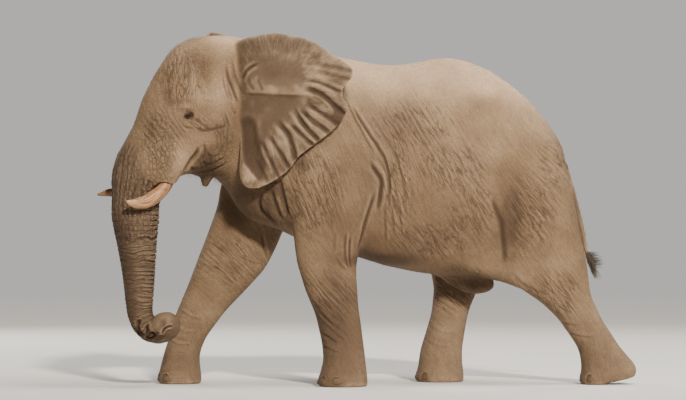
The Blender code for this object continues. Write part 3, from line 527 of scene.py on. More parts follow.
def ear_relief(flat, side):
    """How far the ear's sheet stands out from its even form, and how deep its pleats are."""
    lift, fold = np.zeros(len(flat)), np.zeros(len(flat))
    seat = np.c_[flat, flat[:, :1]]
    bent = flat + 0.012 * np.stack([noise(seat, 0.22, seed + side) for seed in (3, 9)], -1)
    for width, depth, line in EAR_PLEATS:
        off, share = beside_line(bent, line)
        ends = ease(share, 0.0, 0.3) * (1 - 0.25 * ease(share, 0.93, 1.0))
        banks = hill(off - 2.1 * width, 1.4 * width) + hill(off + 2.1 * width, 1.4 * width)
        lift += ends * (0.42 * depth * banks - depth * hill(off, 0.9 * width))
        fold += ends * hill(off, 0.85 * width) * min(1.0, depth / 0.018)
    back, height = flat.T
    shelf = height - 3.045 + 0.05 * back
    lift += 0.03 * ease(shelf, -0.012, 0.022) * (1 - ease(shelf, 0.03, 0.2)) * ease(
        back, 0.02, 0.16) * (1 - ease(back, 0.58, 0.8))
    lift -= 0.045 * ear_recess(back, height)
    lift += 0.024 * hill(back - 0.1, 0.12) * hill(height - 2.15, 0.09)
    lift -= 0.03 * hill(back - 1.02, 0.07) * hill(height - 2.83, 0.12)
    lift += 0.01 * flat_noise(flat, (0.3, 0.3), 5 + side)
    lift += 0.0035 * flat_noise(flat, (0.055, 0.075), 6 + side)
    return lift, np.clip(fold, 0, 1)


EAR_RINGS = 44


def ear_form(side):
    """One ear as a closed sheet of two faces, in the frame's coordinates."""
    rim = through_ring(EAR_RIM, 8)
    shares = np.linspace(0, 1, EAR_RINGS) ** 0.85
    around = len(rim)
    flat = np.vstack([EAR_HUB] + [EAR_HUB + share * (rim - EAR_HUB) for share in shares[1:]])
    lift, _ = ear_relief(flat, side)
    _, outward = ear_axes(side)
    thick = np.interp(flat[:, 0], (0.0, 0.45), (EAR_THICK_ROOT, EAR_THICK_RIM))
    thick[-around:] *= 0.6
    middle = ear_place(flat[:, 0], flat[:, 1], side) + lift[:, None] * outward
    half = 0.5 * thick[:, None] * outward
    points = np.vstack([middle + half, middle - half])
    count, faces = len(flat), []
    for hub in (0, count):
        faces += [(hub, hub + 1 + j, hub + 1 + k) for j, k in pairs_round(around)]
        for a in range(hub + 1, hub + 1 + (EAR_RINGS - 2) * around, around):
            b = a + around
            for j, k in pairs_round(around):
                faces += [(a + j, b + j, b + k), (a + j, b + k, a + k)]
    start = count - around
    for j, k in pairs_round(around):
        faces += [(start + j, count + start + j, count + start + k),
                  (start + j, count + start + k, start + k)]
    return from_head(points), np.array(faces, np.int64)


def solid_of(node, grow=0.0005):
    """A CAD node's corners and triangles, its split corners joined, a hair fuller than it is."""
    mesh = frame["nodes"][node].data
    points, tris = corners_of(mesh), triangles_of(mesh)
    _, first, back = np.unique(np.round(points, 5), axis=0, return_index=True, return_inverse=True)
    points, tris = points[first], back.ravel()[tris]
    tris = tris[(tris != np.roll(tris, -1, axis=1)).all(1)]
    return points + grow * normals_at(points, tris), tris


SEPARATE = ("eye_", "nail_", "tusk_", "tail_tuft")  # what the hide leaves to other pieces
FLESH = [name for name in frame["nodes"] if not name.startswith(SEPARATE)]
NAILS = [name for name in frame["nodes"] if name.startswith("nail_")]


def tusk_rows(side):
    return np.array(TUSK_ROWS[side]) * (1, side, 1, 1)


def tusk_plug(side):
    """Fills the socket of a tusk as far as the edge of its sheath."""
    points, tris, _ = tube(tusk_rows(side)[:3] + (0, 0, 0, 0.004), 4, 24)
    return from_head(points), tris


FLANK_WEB = (  # body's coordinates and radius: the loose skin between the belly and the near thigh
    (1.04, -0.38, 1.32, 0.13), (1.28, -0.42, 1.225, 0.118), (1.4, -0.445, 1.205, 0.118),
    (1.54, -0.46, 1.14, 0.104), (1.7, -0.47, 1.07, 0.09),
)
TIP_SWELL = (  # head's coordinates and radius: the finger of the curled tip, on the near side
    (-2.44, -0.232, 0.648, 0.056), (-2.395, -0.25, 0.654, 0.073), (-2.34, -0.262, 0.662, 0.082),
)


CLOSE_SPOTS = (  # head's coordinates and reach: where the skin keeps close to the solids
    ((-2.27, -0.12, 0.62), 0.34), ((-1.74, 0.0, 2.15), 0.16), ((-2.22, -0.265, 2.17), 0.15),
    ((-2.22, 0.265, 2.17), 0.15),
)


def smooth_body(grain):
    """The whole body without its ears, its flat facets rounded off."""
    solids = [solid_of(name) for name in FLESH if not name.startswith("ear_")]
    solids += [solid_of(name) for name in NAILS + ["eye_left", "eye_right"]]
    solids += [tusk_plug(side) for side in SIDES]
    for rows, to_frame in ((FLANK_WEB, from_body), (TIP_SWELL, from_head)):
        points, tris, _ = tube(rows, 6, 24)
        solids.append((to_frame(points), tris))
    points, tris = skinned(solids, grain)
    links = Links(tris, len(points))
    rough = links.rounded(points, 6, 0.01)
    even = links.rounded(points, 46, 0.024)
    heads, bodies = to_head(points), to_body(points)
    close = np.zeros(len(points))
    for centre, reach in CLOSE_SPOTS:
        away = np.linalg.norm(heads - centre, axis=1)
        close = np.maximum(close, 1 - ease(away, 0.6 * reach, reach))
    off, _ = beside_line(bodies[:, (0, 2)], TAIL_ROWS)
    tail = (1 - ease(np.abs(off), 0.07, 0.11)) * (1 - ease(np.abs(bodies[:, 1]), 0.06, 0.1))
    close = np.maximum(close, tail * ease(bodies[:, 0], 2.1, 2.2))
    close = np.maximum(close, 1 - ease(points[:, 2], 0.02, 0.1))
    return even + close[:, None] * (rough - even), tris


# --- places and regions of the hide ------------------------------------------------------------

LEGS = {  # body's coordinates: side, then x along the leg's middle for falling z
    "fore_left": (-1, ((1.6, -0.45), (1.06, -0.44), (0.49, -0.32), (0.0, -0.29))),
    "fore_right": (1, ((1.6, -1.25), (1.03, -1.54), (0.49, -1.865), (0.0, -1.95))),
    "hind_left": (-1, ((1.6, 1.8), (1.09, 1.95), (0.67, 2.25), (0.0, 2.55))),
    "hind_right": (1, ((1.6, 1.15), (1.0, 1.04), (0.42, 0.89), (0.0, 0.87))),
}


def leg_middle(line, height):
    """The x of a leg's middle at each height."""
    heights, centres = np.array(line)[::-1].T
    return np.interp(height, heights, centres)


class Places:
    """Where each vertex of the hide lies: coordinates, the way it faces, what it belongs to."""

    def __init__(self, points, tris):
        self.refresh(points, tris)

    def refresh(self, points, tris):
        self.points, self.tris = points, tris
        self.normals = normals_at(points, tris)
        self.body, self.head = to_body(points), to_head(points)
        self.face_on = turned(self.normals, -HEAD_TURN)
        self.side = np.where(self.head[:, 1] < 0, -1, 1)
        self.find_trunk()
        self.find_ears()
        self.find_legs()
        x, _, z = self.head.T
        ahead = 1 - ease(x + 0.32 * (z - 2.7), -1.62, -1.38)
        self.skull = ahead * ease(z, 1.95, 2.1) * (1 - self.ear)

    def spots(self, where):
        """The places in the coordinates of the head, or else of the body."""
        return self.head if where == "head" else self.body

    def find_trunk(self):
        run = through(TRUNK_ROWS, 10)
        line = run[:, :3]
        steps = np.linalg.norm(np.diff(line, axis=0), axis=1)
        lengths = np.concatenate([[0.0], np.cumsum(steps)])
        near = np.flatnonzero(within(self.head, x=(-FAR_OFF, -1.95), z=(0.3, 2.85)))
        spots = self.head[near]
        best, pick = np.full(len(near), FAR_OFF), np.zeros(len(near), int)
        for i, middle in enumerate(line):
            away = np.linalg.norm(spots - middle, axis=1)
            closer = away < best
            best[closer], pick[closer] = away[closer], i
        ahead = units(np.gradient(line, axis=0))
        front = units(np.cross(ahead, (0.0, 1.0, 0.0)))
        rel = spots - line[pick]
        shift, forward, sideways = (
            (rel * axis[pick]).sum(1) for axis in (ahead, front, np.cross(ahead, front)))
        self.along, self.round, self.trunk = (np.zeros(len(self.points)) for _ in range(3))
        self.along[near] = lengths[pick] + np.clip(shift, -0.02, 0.02)
        self.round[near] = np.arctan2(sideways, forward)
        inside = 1 - ease(best / run[pick, 3], 1.12, 1.3)
        self.trunk[near] = inside * ease(self.along[near], 0.12, 0.42)
        self.trunk_length = lengths[-1]
        self.curled = ease(self.along, lengths[-1] - 0.5, lengths[-1] - 0.32)

    def find_ears(self):
        self.ear, self.ear_out = np.zeros(len(self.points)), np.zeros(len(self.points))
        self.ear_flat = np.zeros((len(self.points), 2))
        rim = through_ring(EAR_RIM, 4) - EAR_HUB
        angle, reach = np.arctan2(rim[:, 1], rim[:, 0]), np.hypot(*rim.T)
        order = np.argsort(angle)
        angle = (angle[order] + 2 * math.pi * np.array(((-1,), (0,), (1,)))).ravel()
        reach = np.tile(reach[order], 3)
        for side in SIDES:
            near = np.flatnonzero((self.side == side)
                                  & within(self.head, x=(-1.85, FAR_OFF), z=(1.98, FAR_OFF)))
            spots = self.head[near]
            along, outward = ear_axes(side)
            rel = spots - (EAR_ROOT_X[side], 0, 0)
            rel[:, 1] -= side * np.interp(spots[:, 2], *EAR_ROOT_Y)
            back, height = rel @ along, spots[:, 2] - EAR_TILT_HEIGHT
            c, s = TILT[side]
            back, height = c * back + s * height, -s * back + c * height + EAR_TILT_HEIGHT
            off = (spots - ear_place(back, height, side)) @ outward
            flat = np.stack([back, height], -1)
            east, up = (flat - EAR_HUB).T
            far = np.hypot(east, up) / np.interp(np.arctan2(up, east), angle, reach)
            held = (np.abs(off) < 0.085) * (1 - ease(far, 1.01, 1.05)) * ease(back, -0.02, 0.06)
            self.ear[near] = np.maximum(self.ear[near], held)
            self.ear_flat[near], self.ear_out[near] = flat, off

    def find_legs(self):
        z = self.body[:, 2]
        self.leg = (1 - ease(z, 0.95, 1.45)) * (self.trunk < 0.05)
        self.leg *= 1 - ease(-self.head[:, 0], 2.1, 2.16) * (z > 0.44) * (self.trunk > 0.02)


# --- folds and wrinkles of the hide ------------------------------------------------------------

BODY_FOLDS = {  # by side: half width, depth, lap, line (x, z) in the body's coordinates
    -1: (
        (0.013, 0.012, 0.006, ((-0.33, 3.05), (-0.152, 2.674), (-0.068, 2.508), (0.0, 2.36))),
        (0.018, 0.034, 0.014, ((-0.08, 2.36), (-0.01, 2.25), (0.046, 2.16), (0.052, 2.04),
            (0.015, 1.8))),
        (0.014, 0.018, 0.009, ((-0.27, 3.0), (-0.095, 2.674), (0.017, 2.508), (0.094, 2.367),
            (0.125, 2.22), (0.137, 2.05), (0.13, 1.85))),
        (0.013, 0.011, 0.005, ((0.05, 2.68), (0.185, 2.452), (0.249, 2.256), (0.275, 2.09),
            (0.32, 1.84))), (0.012, 0.009, 0.004, ((0.09, 1.92), (0.1, 1.7), (0.123, 1.46))),
        (0.012, 0.008, 0.004, ((0.17, 1.98), (0.175, 1.76), (0.2, 1.52))),
        (0.012, 0.008, 0.003, ((0.23, 1.92), (0.25, 1.74), (0.29, 1.54))),
        (0.034, 0.015, 0.003, ((1.21, 2.06), (1.27, 1.9), (1.335, 1.72), (1.375, 1.49),
            (1.41, 1.2))),
        (0.02, 0.006, 0.002, ((1.33, 2.0), (1.4, 1.8), (1.45, 1.6), (1.5, 1.42))),
        (0.012, 0.014, 0.006, ((-0.312, 1.64), (-0.318, 1.45), (-0.3, 1.31), (-0.24, 1.2))),
        (0.012, 0.016, 0.006, ((-0.262, 1.6), (-0.268, 1.45), (-0.262, 1.32), (-0.215, 1.2))),
        (0.012, 0.009, 0.004, ((-0.42, 1.36), (-0.36, 1.27), (-0.28, 1.21))),
        (0.012, 0.008, 0.003, ((-0.42, 1.62), (-0.435, 1.5), (-0.43, 1.38))),
        (0.016, 0.018, 0.008, ((-0.17, 1.37), (-0.113, 1.67), (-0.064, 1.875), (0.0, 2.07))),
        (0.016, 0.022, 0.01, ((-1.09, 2.1), (-1.02, 1.9), (-0.93, 1.72))),
        (0.018, 0.026, 0.012, ((-1.15, 2.05), (-1.18, 1.9), (-1.08, 1.77), (-0.94, 1.66))),
        (0.02, 0.028, 0.012, ((-0.99, 2.2), (-0.95, 2.0), (-0.88, 1.76))),
        (0.013, 0.009, 0.005, ((-0.6, 0.8), (-0.5, 0.7), (-0.4, 0.62), (-0.33, 0.56))),
        (0.012, 0.009, 0.005, ((-0.56, 0.7), (-0.46, 0.6), (-0.37, 0.52), (-0.31, 0.47))),
        (0.014, 0.012, 0.006, ((-0.55, 0.56), (-0.46, 0.5), (-0.38, 0.45))),
        (0.012, 0.008, 0.004, ((-0.54, 0.43), (-0.45, 0.38), (-0.37, 0.35))),
        (0.012, 0.006, 0.002, ((1.86, 0.74), (2.02, 0.66), (2.2, 0.62))),
        (0.012, 0.006, 0.002, ((2.02, 0.6), (2.18, 0.52), (2.36, 0.5))),
        (0.018, 0.007, 0.002, ((1.42, 1.22), (1.58, 1.08), (1.76, 0.98), (1.92, 0.94))),
    ),
    1: (
        (0.018, 0.03, 0.012, ((-0.62, 2.34), (-0.56, 2.16), (-0.58, 1.98), (-0.64, 1.8))),
        (0.014, 0.016, 0.008, ((-0.72, 2.95), (-0.56, 2.62), (-0.46, 2.34), (-0.46, 2.1),
            (-0.5, 1.84))),
        (0.013, 0.011, 0.005, ((-0.46, 2.7), (-0.34, 2.46), (-0.3, 2.2), (-0.28, 1.9))),
        (0.034, 0.018, 0.004, ((0.66, 2.06), (0.7, 1.86), (0.72, 1.66), (0.72, 1.4))),
        (0.014, 0.012, 0.005, ((-1.1, 1.62), (-1.06, 1.44), (-1.0, 1.3))),
        (0.012, 0.007, 0.003, ((-1.98, 0.8), (-1.86, 0.72), (-1.72, 0.68))),
        (0.012, 0.006, 0.003, ((-2.06, 0.62), (-1.92, 0.55), (-1.78, 0.54))),
        (0.012, 0.006, 0.003, ((-2.1, 0.48), (-1.98, 0.42), (-1.84, 0.41))),
        (0.012, 0.005, 0.002, ((0.72, 0.62), (0.84, 0.54), (1.0, 0.52))),
        (0.012, 0.005, 0.002, ((0.68, 0.46), (0.8, 0.39), (0.98, 0.37))),
    ),
}
HEAD_FOLDS = (  # the same on both sides of the head, in its coordinates
    (0.02, 0.012, 0.006, ((-2.01, 2.668), (-1.92, 2.66), (-1.8, 2.68), (-1.66, 2.712))),
    (0.016, 0.034, 0.016, ((-1.965, 2.5), (-1.995, 2.42), (-2.045, 2.33), (-2.105, 2.2))),
    (0.014, 0.012, 0.005, ((-1.93, 2.54), (-1.9, 2.44), (-1.92, 2.34))),
    (0.013, 0.016, 0.006, ((-2.07, 2.315), (-1.95, 2.255), (-1.82, 2.235), (-1.69, 2.285),
        (-1.58, 2.36))),
    (0.012, 0.01, 0.005, ((-1.95, 2.36), (-1.85, 2.31), (-1.75, 2.33), (-1.64, 2.4))),
    (0.012, 0.008, 0.004, ((-1.9, 2.43), (-1.8, 2.39), (-1.7, 2.42))),
    (0.013, 0.014, 0.006, ((-1.67, 3.36), (-1.645, 3.2), (-1.59, 3.05), (-1.53, 2.9))),
    (0.012, 0.01, 0.005, ((-1.6, 3.42), (-1.575, 3.25), (-1.53, 3.12), (-1.49, 3.02))),
    (0.012, 0.009, 0.004, ((-1.72, 3.22), (-1.7, 3.1), (-1.65, 2.96))),
    (0.014, 0.01, 0.004, ((-1.72, 2.9), (-1.67, 2.72), (-1.66, 2.52), (-1.62, 2.42))),
    (0.012, 0.008, 0.004, ((-1.79, 2.62), (-1.77, 2.52), (-1.78, 2.44))),
    (0.012, 0.008, 0.003, ((-2.16, 2.735), (-2.1, 2.69), (-2.02, 2.67))),
)
WRINKLES = {  # middle (x, z), reach, slope in degrees (above 0 it turns no lines), depth
    "body": (
        ((-0.62, 2.05), (0.34, 0.62), -86, 0.0042), ((0.4, 2.72), (0.5, 0.3), -37, 0.007),
        ((0.8, 2.3), (0.45, 0.32), -44, 0.005), ((1.02, 1.85), (0.32, 0.42), -56, 0.0046),
        ((0.62, 1.52), (0.5, 0.24), -30, 0.004), ((0.22, 2.15), (0.2, 0.6), -80, 0.006),
        ((1.66, 1.85), (0.32, 0.5), -58, 0.0056), ((1.98, 2.32), (0.3, 0.32), -14, 0.0048),
        ((-0.45, 0.92), (0.3, 0.36), -38, 0.0048), ((-1.08, 2.6), (0.3, 0.55), -72, 0.007),
        ((-0.98, 1.9), (0.22, 0.28), -70, 0.006), ((-1.4, 1.3), (0.42, 0.34), -20, 0.004),
        ((1.95, 0.95), (0.35, 0.3), -35, 0.004), ((0.95, 1.0), (0.35, 0.3), -12, 0.004),
    ),
    "head": (
        ((-1.7, 2.64), (0.14, 0.24), -86, 0.006), ((-1.58, 3.05), (0.11, 0.42), -76, 0.007),
        ((-2.28, 2.56), (0.24, 0.34), -52, 0.0052), ((-2.25, 2.5), (0.26, 0.3), 24, 0.0044),
        ((-1.84, 2.34), (0.2, 0.1), -8, 0.006), ((-2.1, 3.2), (0.25, 0.35), -118, 0.0026),
        ((-1.98, 2.72), (0.16, 0.1), -12, 0.004),
    ),
}
WRINKLE_SPACING = 0.052
NOSTRILS = (  # grooves on the left of the curled tip: half width, depth, line (x, z) of the head
    (0.017, 0.046, ((-2.5, 0.72), (-2.522, 0.66), (-2.52, 0.605), (-2.49, 0.56), (-2.435, 0.53))),
    (0.012, 0.03, ((-2.44, 0.528), (-2.385, 0.515), (-2.352, 0.54), (-2.372, 0.57),
        (-2.412, 0.573))),
    (0.011, 0.028, ((-2.318, 0.56), (-2.305, 0.605), (-2.262, 0.634), (-2.205, 0.638))),
    (0.01, 0.012, ((-2.29, 0.55), (-2.262, 0.59), (-2.215, 0.602))),
)


def near_line(flat, line, reach):
    line = np.asarray(line)
    low, high = line.min(0) - reach, line.max(0) + reach
    return np.flatnonzero(((flat > low) & (flat < high)).all(1))


def spread(flat, middle, reach):
    """The squared distance of flat places from a middle, counted in reaches."""
    return (((flat - np.array(middle)) / reach) ** 2).sum(-1)


def off_whole(beat):
    """How far each number is from the nearest whole one."""
    return np.abs(beat - np.round(beat))


def add_fold(height, furrow, flat, held, width, depth, lap, line):
    """Draws one lapped crease along a line into the height of the hide."""
    near = near_line(flat, line, 5 * width)
    near = near[held[near] > 0]
    if not len(near):
        return
    off, share = beside_line(flat[near], line)
    off = off + 0.35 * width * noise(np.c_[flat[near], flat[near, :1]], 0.11, 2)
    ends = ease(share, 0.0, 0.22) * (1 - ease(share, 0.78, 1.0)) * held[near]
    crease = hill(off, width)
    height[near] += ends * (lap * hill(off - 2.0 * width, 1.9 * width) - depth * crease)
    # Painted shade along the crease.
    furrow[near] = np.maximum(furrow[near], ends * crease * min(1.0, depth / 0.016))


def add_folds(height, furrow, at):
    side = np.where(at.body[:, 1] < 0, -1, 1)
    held = (1 - at.ear) * (1 - at.skull) * (1 - at.trunk)
    facing = ease(np.abs(at.normals[:, 1]), 0.05, 0.35)
    for which, folds in BODY_FOLDS.items():
        for fold in folds:
            add_fold(height, furrow, at.body[:, (0, 2)], held * (side == which) * facing, *fold)
    held = (1 - at.ear) * ease(np.abs(at.face_on[:, 1]), 0.1, 0.4)
    for fold in HEAD_FOLDS:
        for which in SIDES:
            add_fold(height, furrow, at.head[:, (0, 2)], held * (at.side == which), *fold)


FLOW_CELL, FLOW_ROUNDS, PLAIN_SLOPE = 0.08, 3000, -75.0
FLOW_REACH = {"body": ((-1.9, 2.7), (0.0, 3.8)), "head": ((-2.9, -1.2), (1.8, 3.9))}


def drawn_along(x, ways):
    """The map over a flat grid whose slope comes nearest to the given ways (two arrays)."""
    over, up = ways
    over = FLOW_CELL * (over[1:] + over[:-1]) / 2
    up = FLOW_CELL * (up[:, 1:] + up[:, :-1]) / 2
    beside = np.full(x[0].shape, 4.0)
    beside[[0, -1]] -= 1
    beside[:, [0, -1]] -= 1
    out = x[0] * ways[0].mean() + x[1] * ways[1].mean()
    for _ in range(FLOW_ROUNDS):
        total = np.zeros_like(out)
        total[1:] += out[:-1] + over
        total[:-1] += out[1:] - over
        total[:, 1:] += out[:, :-1] + up
        total[:, :-1] += out[:, 1:] - up
        out = 0.2 * out + 0.8 * total / beside
    return out


def flow_of(where, flat):
    """Places along and across the wrinkles, which turn over the body's side without a break."""
    (left, right), (low, high) = FLOW_REACH[where]
    x = np.meshgrid(np.arange(left, right, FLOW_CELL), np.arange(low, high, FLOW_CELL),
                    indexing="ij")
    turn = 0.12 * np.exp(2j * math.radians(PLAIN_SLOPE)) * np.ones_like(x[0])
    for middle, reach, slope, _ in WRINKLES[where]:
        if slope < 0:
            turn += np.exp(-spread(np.stack(x, -1), middle, reach) + 2j * math.radians(slope))
    slope = np.angle(turn * 1j) / 2 - math.pi / 4
    c, s = np.cos(slope), np.sin(slope)
    place = np.clip((flat - (left, low)) / FLOW_CELL, 0, np.array(x[0].shape) - 1.001)
    (i, j), (u, v) = place.astype(int).T, (place % 1.0).T
    return [(1 - u) * ((1 - v) * m[i, j] + v * m[i, j + 1])
            + u * ((1 - v) * m[i + 1, j] + v * m[i + 1, j + 1])
            for m in (drawn_along(x, (c, s)), drawn_along(x, (-s, c)))]


def add_wrinkles(height, furrow, at):
    """Raises low ridges in patches, and keeps which way the skin's fine creases run."""
    count = len(at.points)
    at.flow, at.owner, best = np.zeros((count, 3)), (at.skull > 0.5).astype(float), np.zeros(count)
    for where, mine, normals in (("body", at.skull <= 0.5, at.normals),
                                 ("head", at.skull > 0.5, at.face_on)):
        seats = np.flatnonzero(mine)
        spots = at.spots(where)[seats]
        flat = spots[:, (0, 2)]
        run, rise = flow_of(where, flat)
        at.flow[seats] = np.c_[run, rise, at.side[seats] * 3.0 + spots[:, 1]]
        held, deep = np.zeros(len(seats)), np.zeros(len(seats))
        for middle, reach, _, depth in WRINKLES[where]:
            share = np.exp(-spread(flat, middle, reach) ** 1.5)
            held, deep = np.maximum(held, share), np.maximum(deep, share * depth)
        seen = (1 - at.ear[seats]) * ease(np.abs(normals[seats, 1]), 0.1, 0.45)
        seat = np.c_[run, rise, spots[:, 1]]
        beat = (rise + 0.012 * noise(seat, 0.13, 5)) / WRINKLE_SPACING
        part = off_whole(beat + 0.3 * noise(seat * (0.4, 1.0, 0.4), 0.11, 6))
        alive = ease(noise(seat * (0.3, 1.0, 0.3), 0.11, 7), -0.85, 0.2)
        height[seats] -= 0.6 * seen * deep * alive * np.cos(2 * math.pi * part)
        # Painted shade in the wrinkle lines.
        lines = seen * held * alive * 0.16 * hill(part, 0.18)
        furrow[seats] = np.maximum(furrow[seats], lines)
        best[seats] = held * seen
    low = 1 - ease(at.body[:, 2], 2.85, 3.15)
    plain = 0.5 * (1 - at.ear) * low * (1 - 0.4 * at.skull)
    at.wrinkle = np.maximum(np.clip(1.2 * best, 0, 1), plain)
    mine = at.ear > 0.5
    back, tall = (at.ear_flat[mine] - EAR_HUB).T
    far, angle = np.hypot(back, tall), np.arctan2(tall, back)
    at.flow[mine] = np.c_[far, 0.52 * np.cos(angle), 3.0 * np.sin(angle)]
    at.wrinkle[mine] = 0.15 + 0.45 * ease(far, 0.25, 0.6)
    at.owner[mine] = 2


TRUNK_RIBS = 26
TIP_LENGTH = 0.62  # of the trunk's end, which is curled
NOSTRIL_LAP = 0.008


def add_trunk(height, furrow, at):
    """Rings down the trunk, ribs and knobs at its root, and the grooves of its curled tip."""
    near = np.flatnonzero(at.trunk > 0.01)
    s, turn, held, curled = (rows[near] for rows in (at.along, at.round, at.trunk, at.curled))
    cosine, sine = np.cos(turn), np.sin(turn)
    front = 0.5 + 0.5 * cosine
    total = at.trunk_length
    stations = np.linspace(0, total, 400)
    spacing = np.interp(stations, (0.0, 0.7, 1.2, 1.6, 2.2, total),
                        (0.06, 0.06, 0.064, 0.044, 0.034, 0.03))
    phase = np.concatenate([[0], np.cumsum(np.diff(stations) / spacing[1:])])
    ringed = held * ease(s, 0.75, 1.1) * (1 - 0.8 * curled)
    rooted = (held > 0.35) & (ringed <= 0.1)
    mine = ringed > 0.1
    at.flow[near[rooted]] = np.c_[s, 0.24 * cosine, 1.4 * sine][rooted]
    at.flow[near[mine]] = np.c_[0.17 * cosine, s, 0.17 * sine][mine]
    at.owner[near[rooted]], at.owner[near[mine]] = 3, 4
    at.wrinkle[near] = np.where(mine, ringed, np.where(rooted, 0.8, at.wrinkle[near]))
    swirl = np.c_[cosine, sine, s * 5.0]
    wander = 0.55 * noise(swirl, (0.9, 0.9, 0.6), 3) + 0.22 * noise(swirl, (0.35, 0.35, 0.4), 5)
    beat = np.interp(s, stations, phase) + wander
    crease, fine = hill(off_whole(beat), 0.15), hill(off_whole(2 * beat), 0.3)
    broken = noise(np.c_[swirl[:, :2] * 1.6, s * 16.0], 1.0, 6)
    broken = 0.45 + 0.55 * ease(broken, -0.45, 0.35)
    deep = np.interp(s, (0.0, 0.5, 0.85, 1.05, 1.6, 2.2, total - 0.5, total - 0.3),
                     (0.001, 0.002, 0.006, 0.015, 0.012, 0.0065, 0.004, 0.0008))
    deep = deep * (0.34 + 0.66 * front) * broken
    knobs = cobbles(at.head[near] * (1.15, 0.9, 0.62), 0.05, 2)
    knobby = held * (1 - ease(s, 1.05, 1.3)) * (0.45 + 0.55 * front)
    at.knobby = np.zeros(len(at.points))
    at.knobby[near] = knobby
    ribs = TRUNK_RIBS * turn / (2 * math.pi) + 0.55 * noise(swirl, (0.3, 0.3, 1.1), 8)
    ribbed = held * (1 - ease(s, 0.8, 1.05)) * (0.35 + 0.65 * broken)
    gully = hill(off_whole(ribs), 0.22)
    height[near] += held * (deep * (0.55 - 1.5 * crease - 0.3 * fine))
    height[near] += knobby * 0.013 * (knobs - 0.45)
    height[near] -= 0.0075 * ribbed * gully
    # Painted shade in the rings, darker on the trunk's front, in the seams between the knobs and in
    # the gullies between the ribs.
    rings = held * broken * (1 - 0.85 * curled) * ease(deep, 0.0, 0.004) * (crease + 0.3 * fine)
    for dark in (rings * (0.34 + 0.66 * front), knobby * 0.9 * (1 - ease(knobs, 0.0, 0.4)),
                 0.85 * ribbed * gully):
        furrow[near] = np.maximum(furrow[near], dark)
    tip = (at.along > total - TIP_LENGTH) & (at.face_on[:, 1] < 0.15) & (at.trunk > 0.2)
    tip = tip.astype(float)
    for width, depth, line in NOSTRILS:
        add_fold(height, furrow, at.head[:, (0, 2)], tip, width, depth, NOSTRIL_LAP, line)


def add_net(height, furrow, at):
    """The hide's own net of cracks, coarse on the cheeks and trunk, fine on the flanks."""
    bent = at.points + 0.02 * np.stack([noise(at.points, 0.13, n) for n in (1, 2, 3)], -1)
    cells = cobbles(bent * (1.0, 1.0, 1.25), 0.045, 4)
    patchy = ease(noise(at.points, 0.3, 21), -0.5, 0.5)
    tip = 1 - 0.8 * at.curled
    x, _, z = at.head.T
    root = hill(x + 2.34, 0.24) * hill(z - 2.42, 0.42) * at.skull
    lobe = hill(x + 2.12, 0.11) * hill(z - 2.33, 0.15) * at.skull
    at.knobby = np.maximum(at.knobby, root) * (1 - 0.85 * lobe)
    at.wrinkle = at.wrinkle * (1 - 0.85 * lobe)
    bold = (0.0014 + 0.003 * at.skull + 0.0002 * at.leg) * (0.5 + 0.5 * patchy)
    bold = bold * (1 - 0.75 * at.ear) * (1 - 0.75 * at.trunk) * tip * (1 - 0.7 * lobe)
    height += bold * (cells - 0.5)
    # Painted shade in the seams of the crack net.
    seams = (1 - ease(cells, 0.0, 0.3)) * (0.22 + 0.4 * at.skull) * (1 - 0.7 * at.ear) * tip
    furrow[:] = np.maximum(furrow, seams * (0.4 + 0.6 * patchy) * (1 - 0.7 * lobe))
    broad = noise(at.points, 0.42, 8) + 0.5 * noise(at.points, 0.19, 9)
    height += 0.004 * broad * (1 - at.ear) * ease(at.points[:, 2], 0.1, 0.4)


LANDMARKS = {  # bone and muscle under the hide: side (0: both), middle, reach, height
    "body": (
        (0, (-0.62, 0.6, 2.95), (0.1, 0.3, 0.34), 0.016),
        (0, (-0.78, 0.6, 2.25), (0.15, 0.3, 0.22), 0.014),
        (0, (0.2, 0.74, 2.62), (0.28, 0.3, 0.2), -0.01),
        (0, (0.98, 0.7, 2.72), (0.17, 0.3, 0.2), -0.014),
        (0, (1.2, 0.56, 3.06), (0.13, 0.25, 0.12), 0.018),
        (0, (1.95, 0.4, 2.52), (0.14, 0.3, 0.18), 0.014),
        (-1, (1.95, 0.5, 1.22), (0.2, 0.3, 0.22), 0.012),
        (-1, (1.62, 0.5, 1.12), (0.14, 0.3, 0.1), 0.016),
        (0, (0.1, 0.0, 3.4), (1.3, 0.05, 0.2), 0.01),
        (0, (2.33, 0.0, 1.72), (0.13, 0.09, 0.55), 0.011),
    ),
    "head": (
        (0, (-1.9, 0.42, 2.93), (0.12, 0.2, 0.1), 0.012),
        (0, (-2.075, 0.42, 2.89), (0.075, 0.14, 0.026), 0.012),
        (0, (-1.95, 0.43, 3.16), (0.1, 0.2, 0.12), -0.014),
        (0, (-1.83, 0.43, 2.78), (0.13, 0.2, 0.045), 0.012),
        (0, (-1.83, 0.45, 2.6), (0.12, 0.2, 0.05), -0.008),
        (0, (-2.17, 0.4, 2.36), (0.075, 0.16, 0.15), 0.016),
        (0, (-2.255, 0.3, 3.1), (0.055, 0.2, 0.22), -0.018),
        (0, (-2.02, 0.38, 3.18), (0.05, 0.16, 0.18), 0.01),
        (0, (-1.63, 0.45, 3.16), (0.055, 0.16, 0.12), -0.016),
        (0, (-2.16, 0.4, 2.95), (0.085, 0.14, 0.045), -0.012),
        (0, (-1.8, 0.43, 3.06), (0.12, 0.16, 0.13), 0.012),
    ),
}


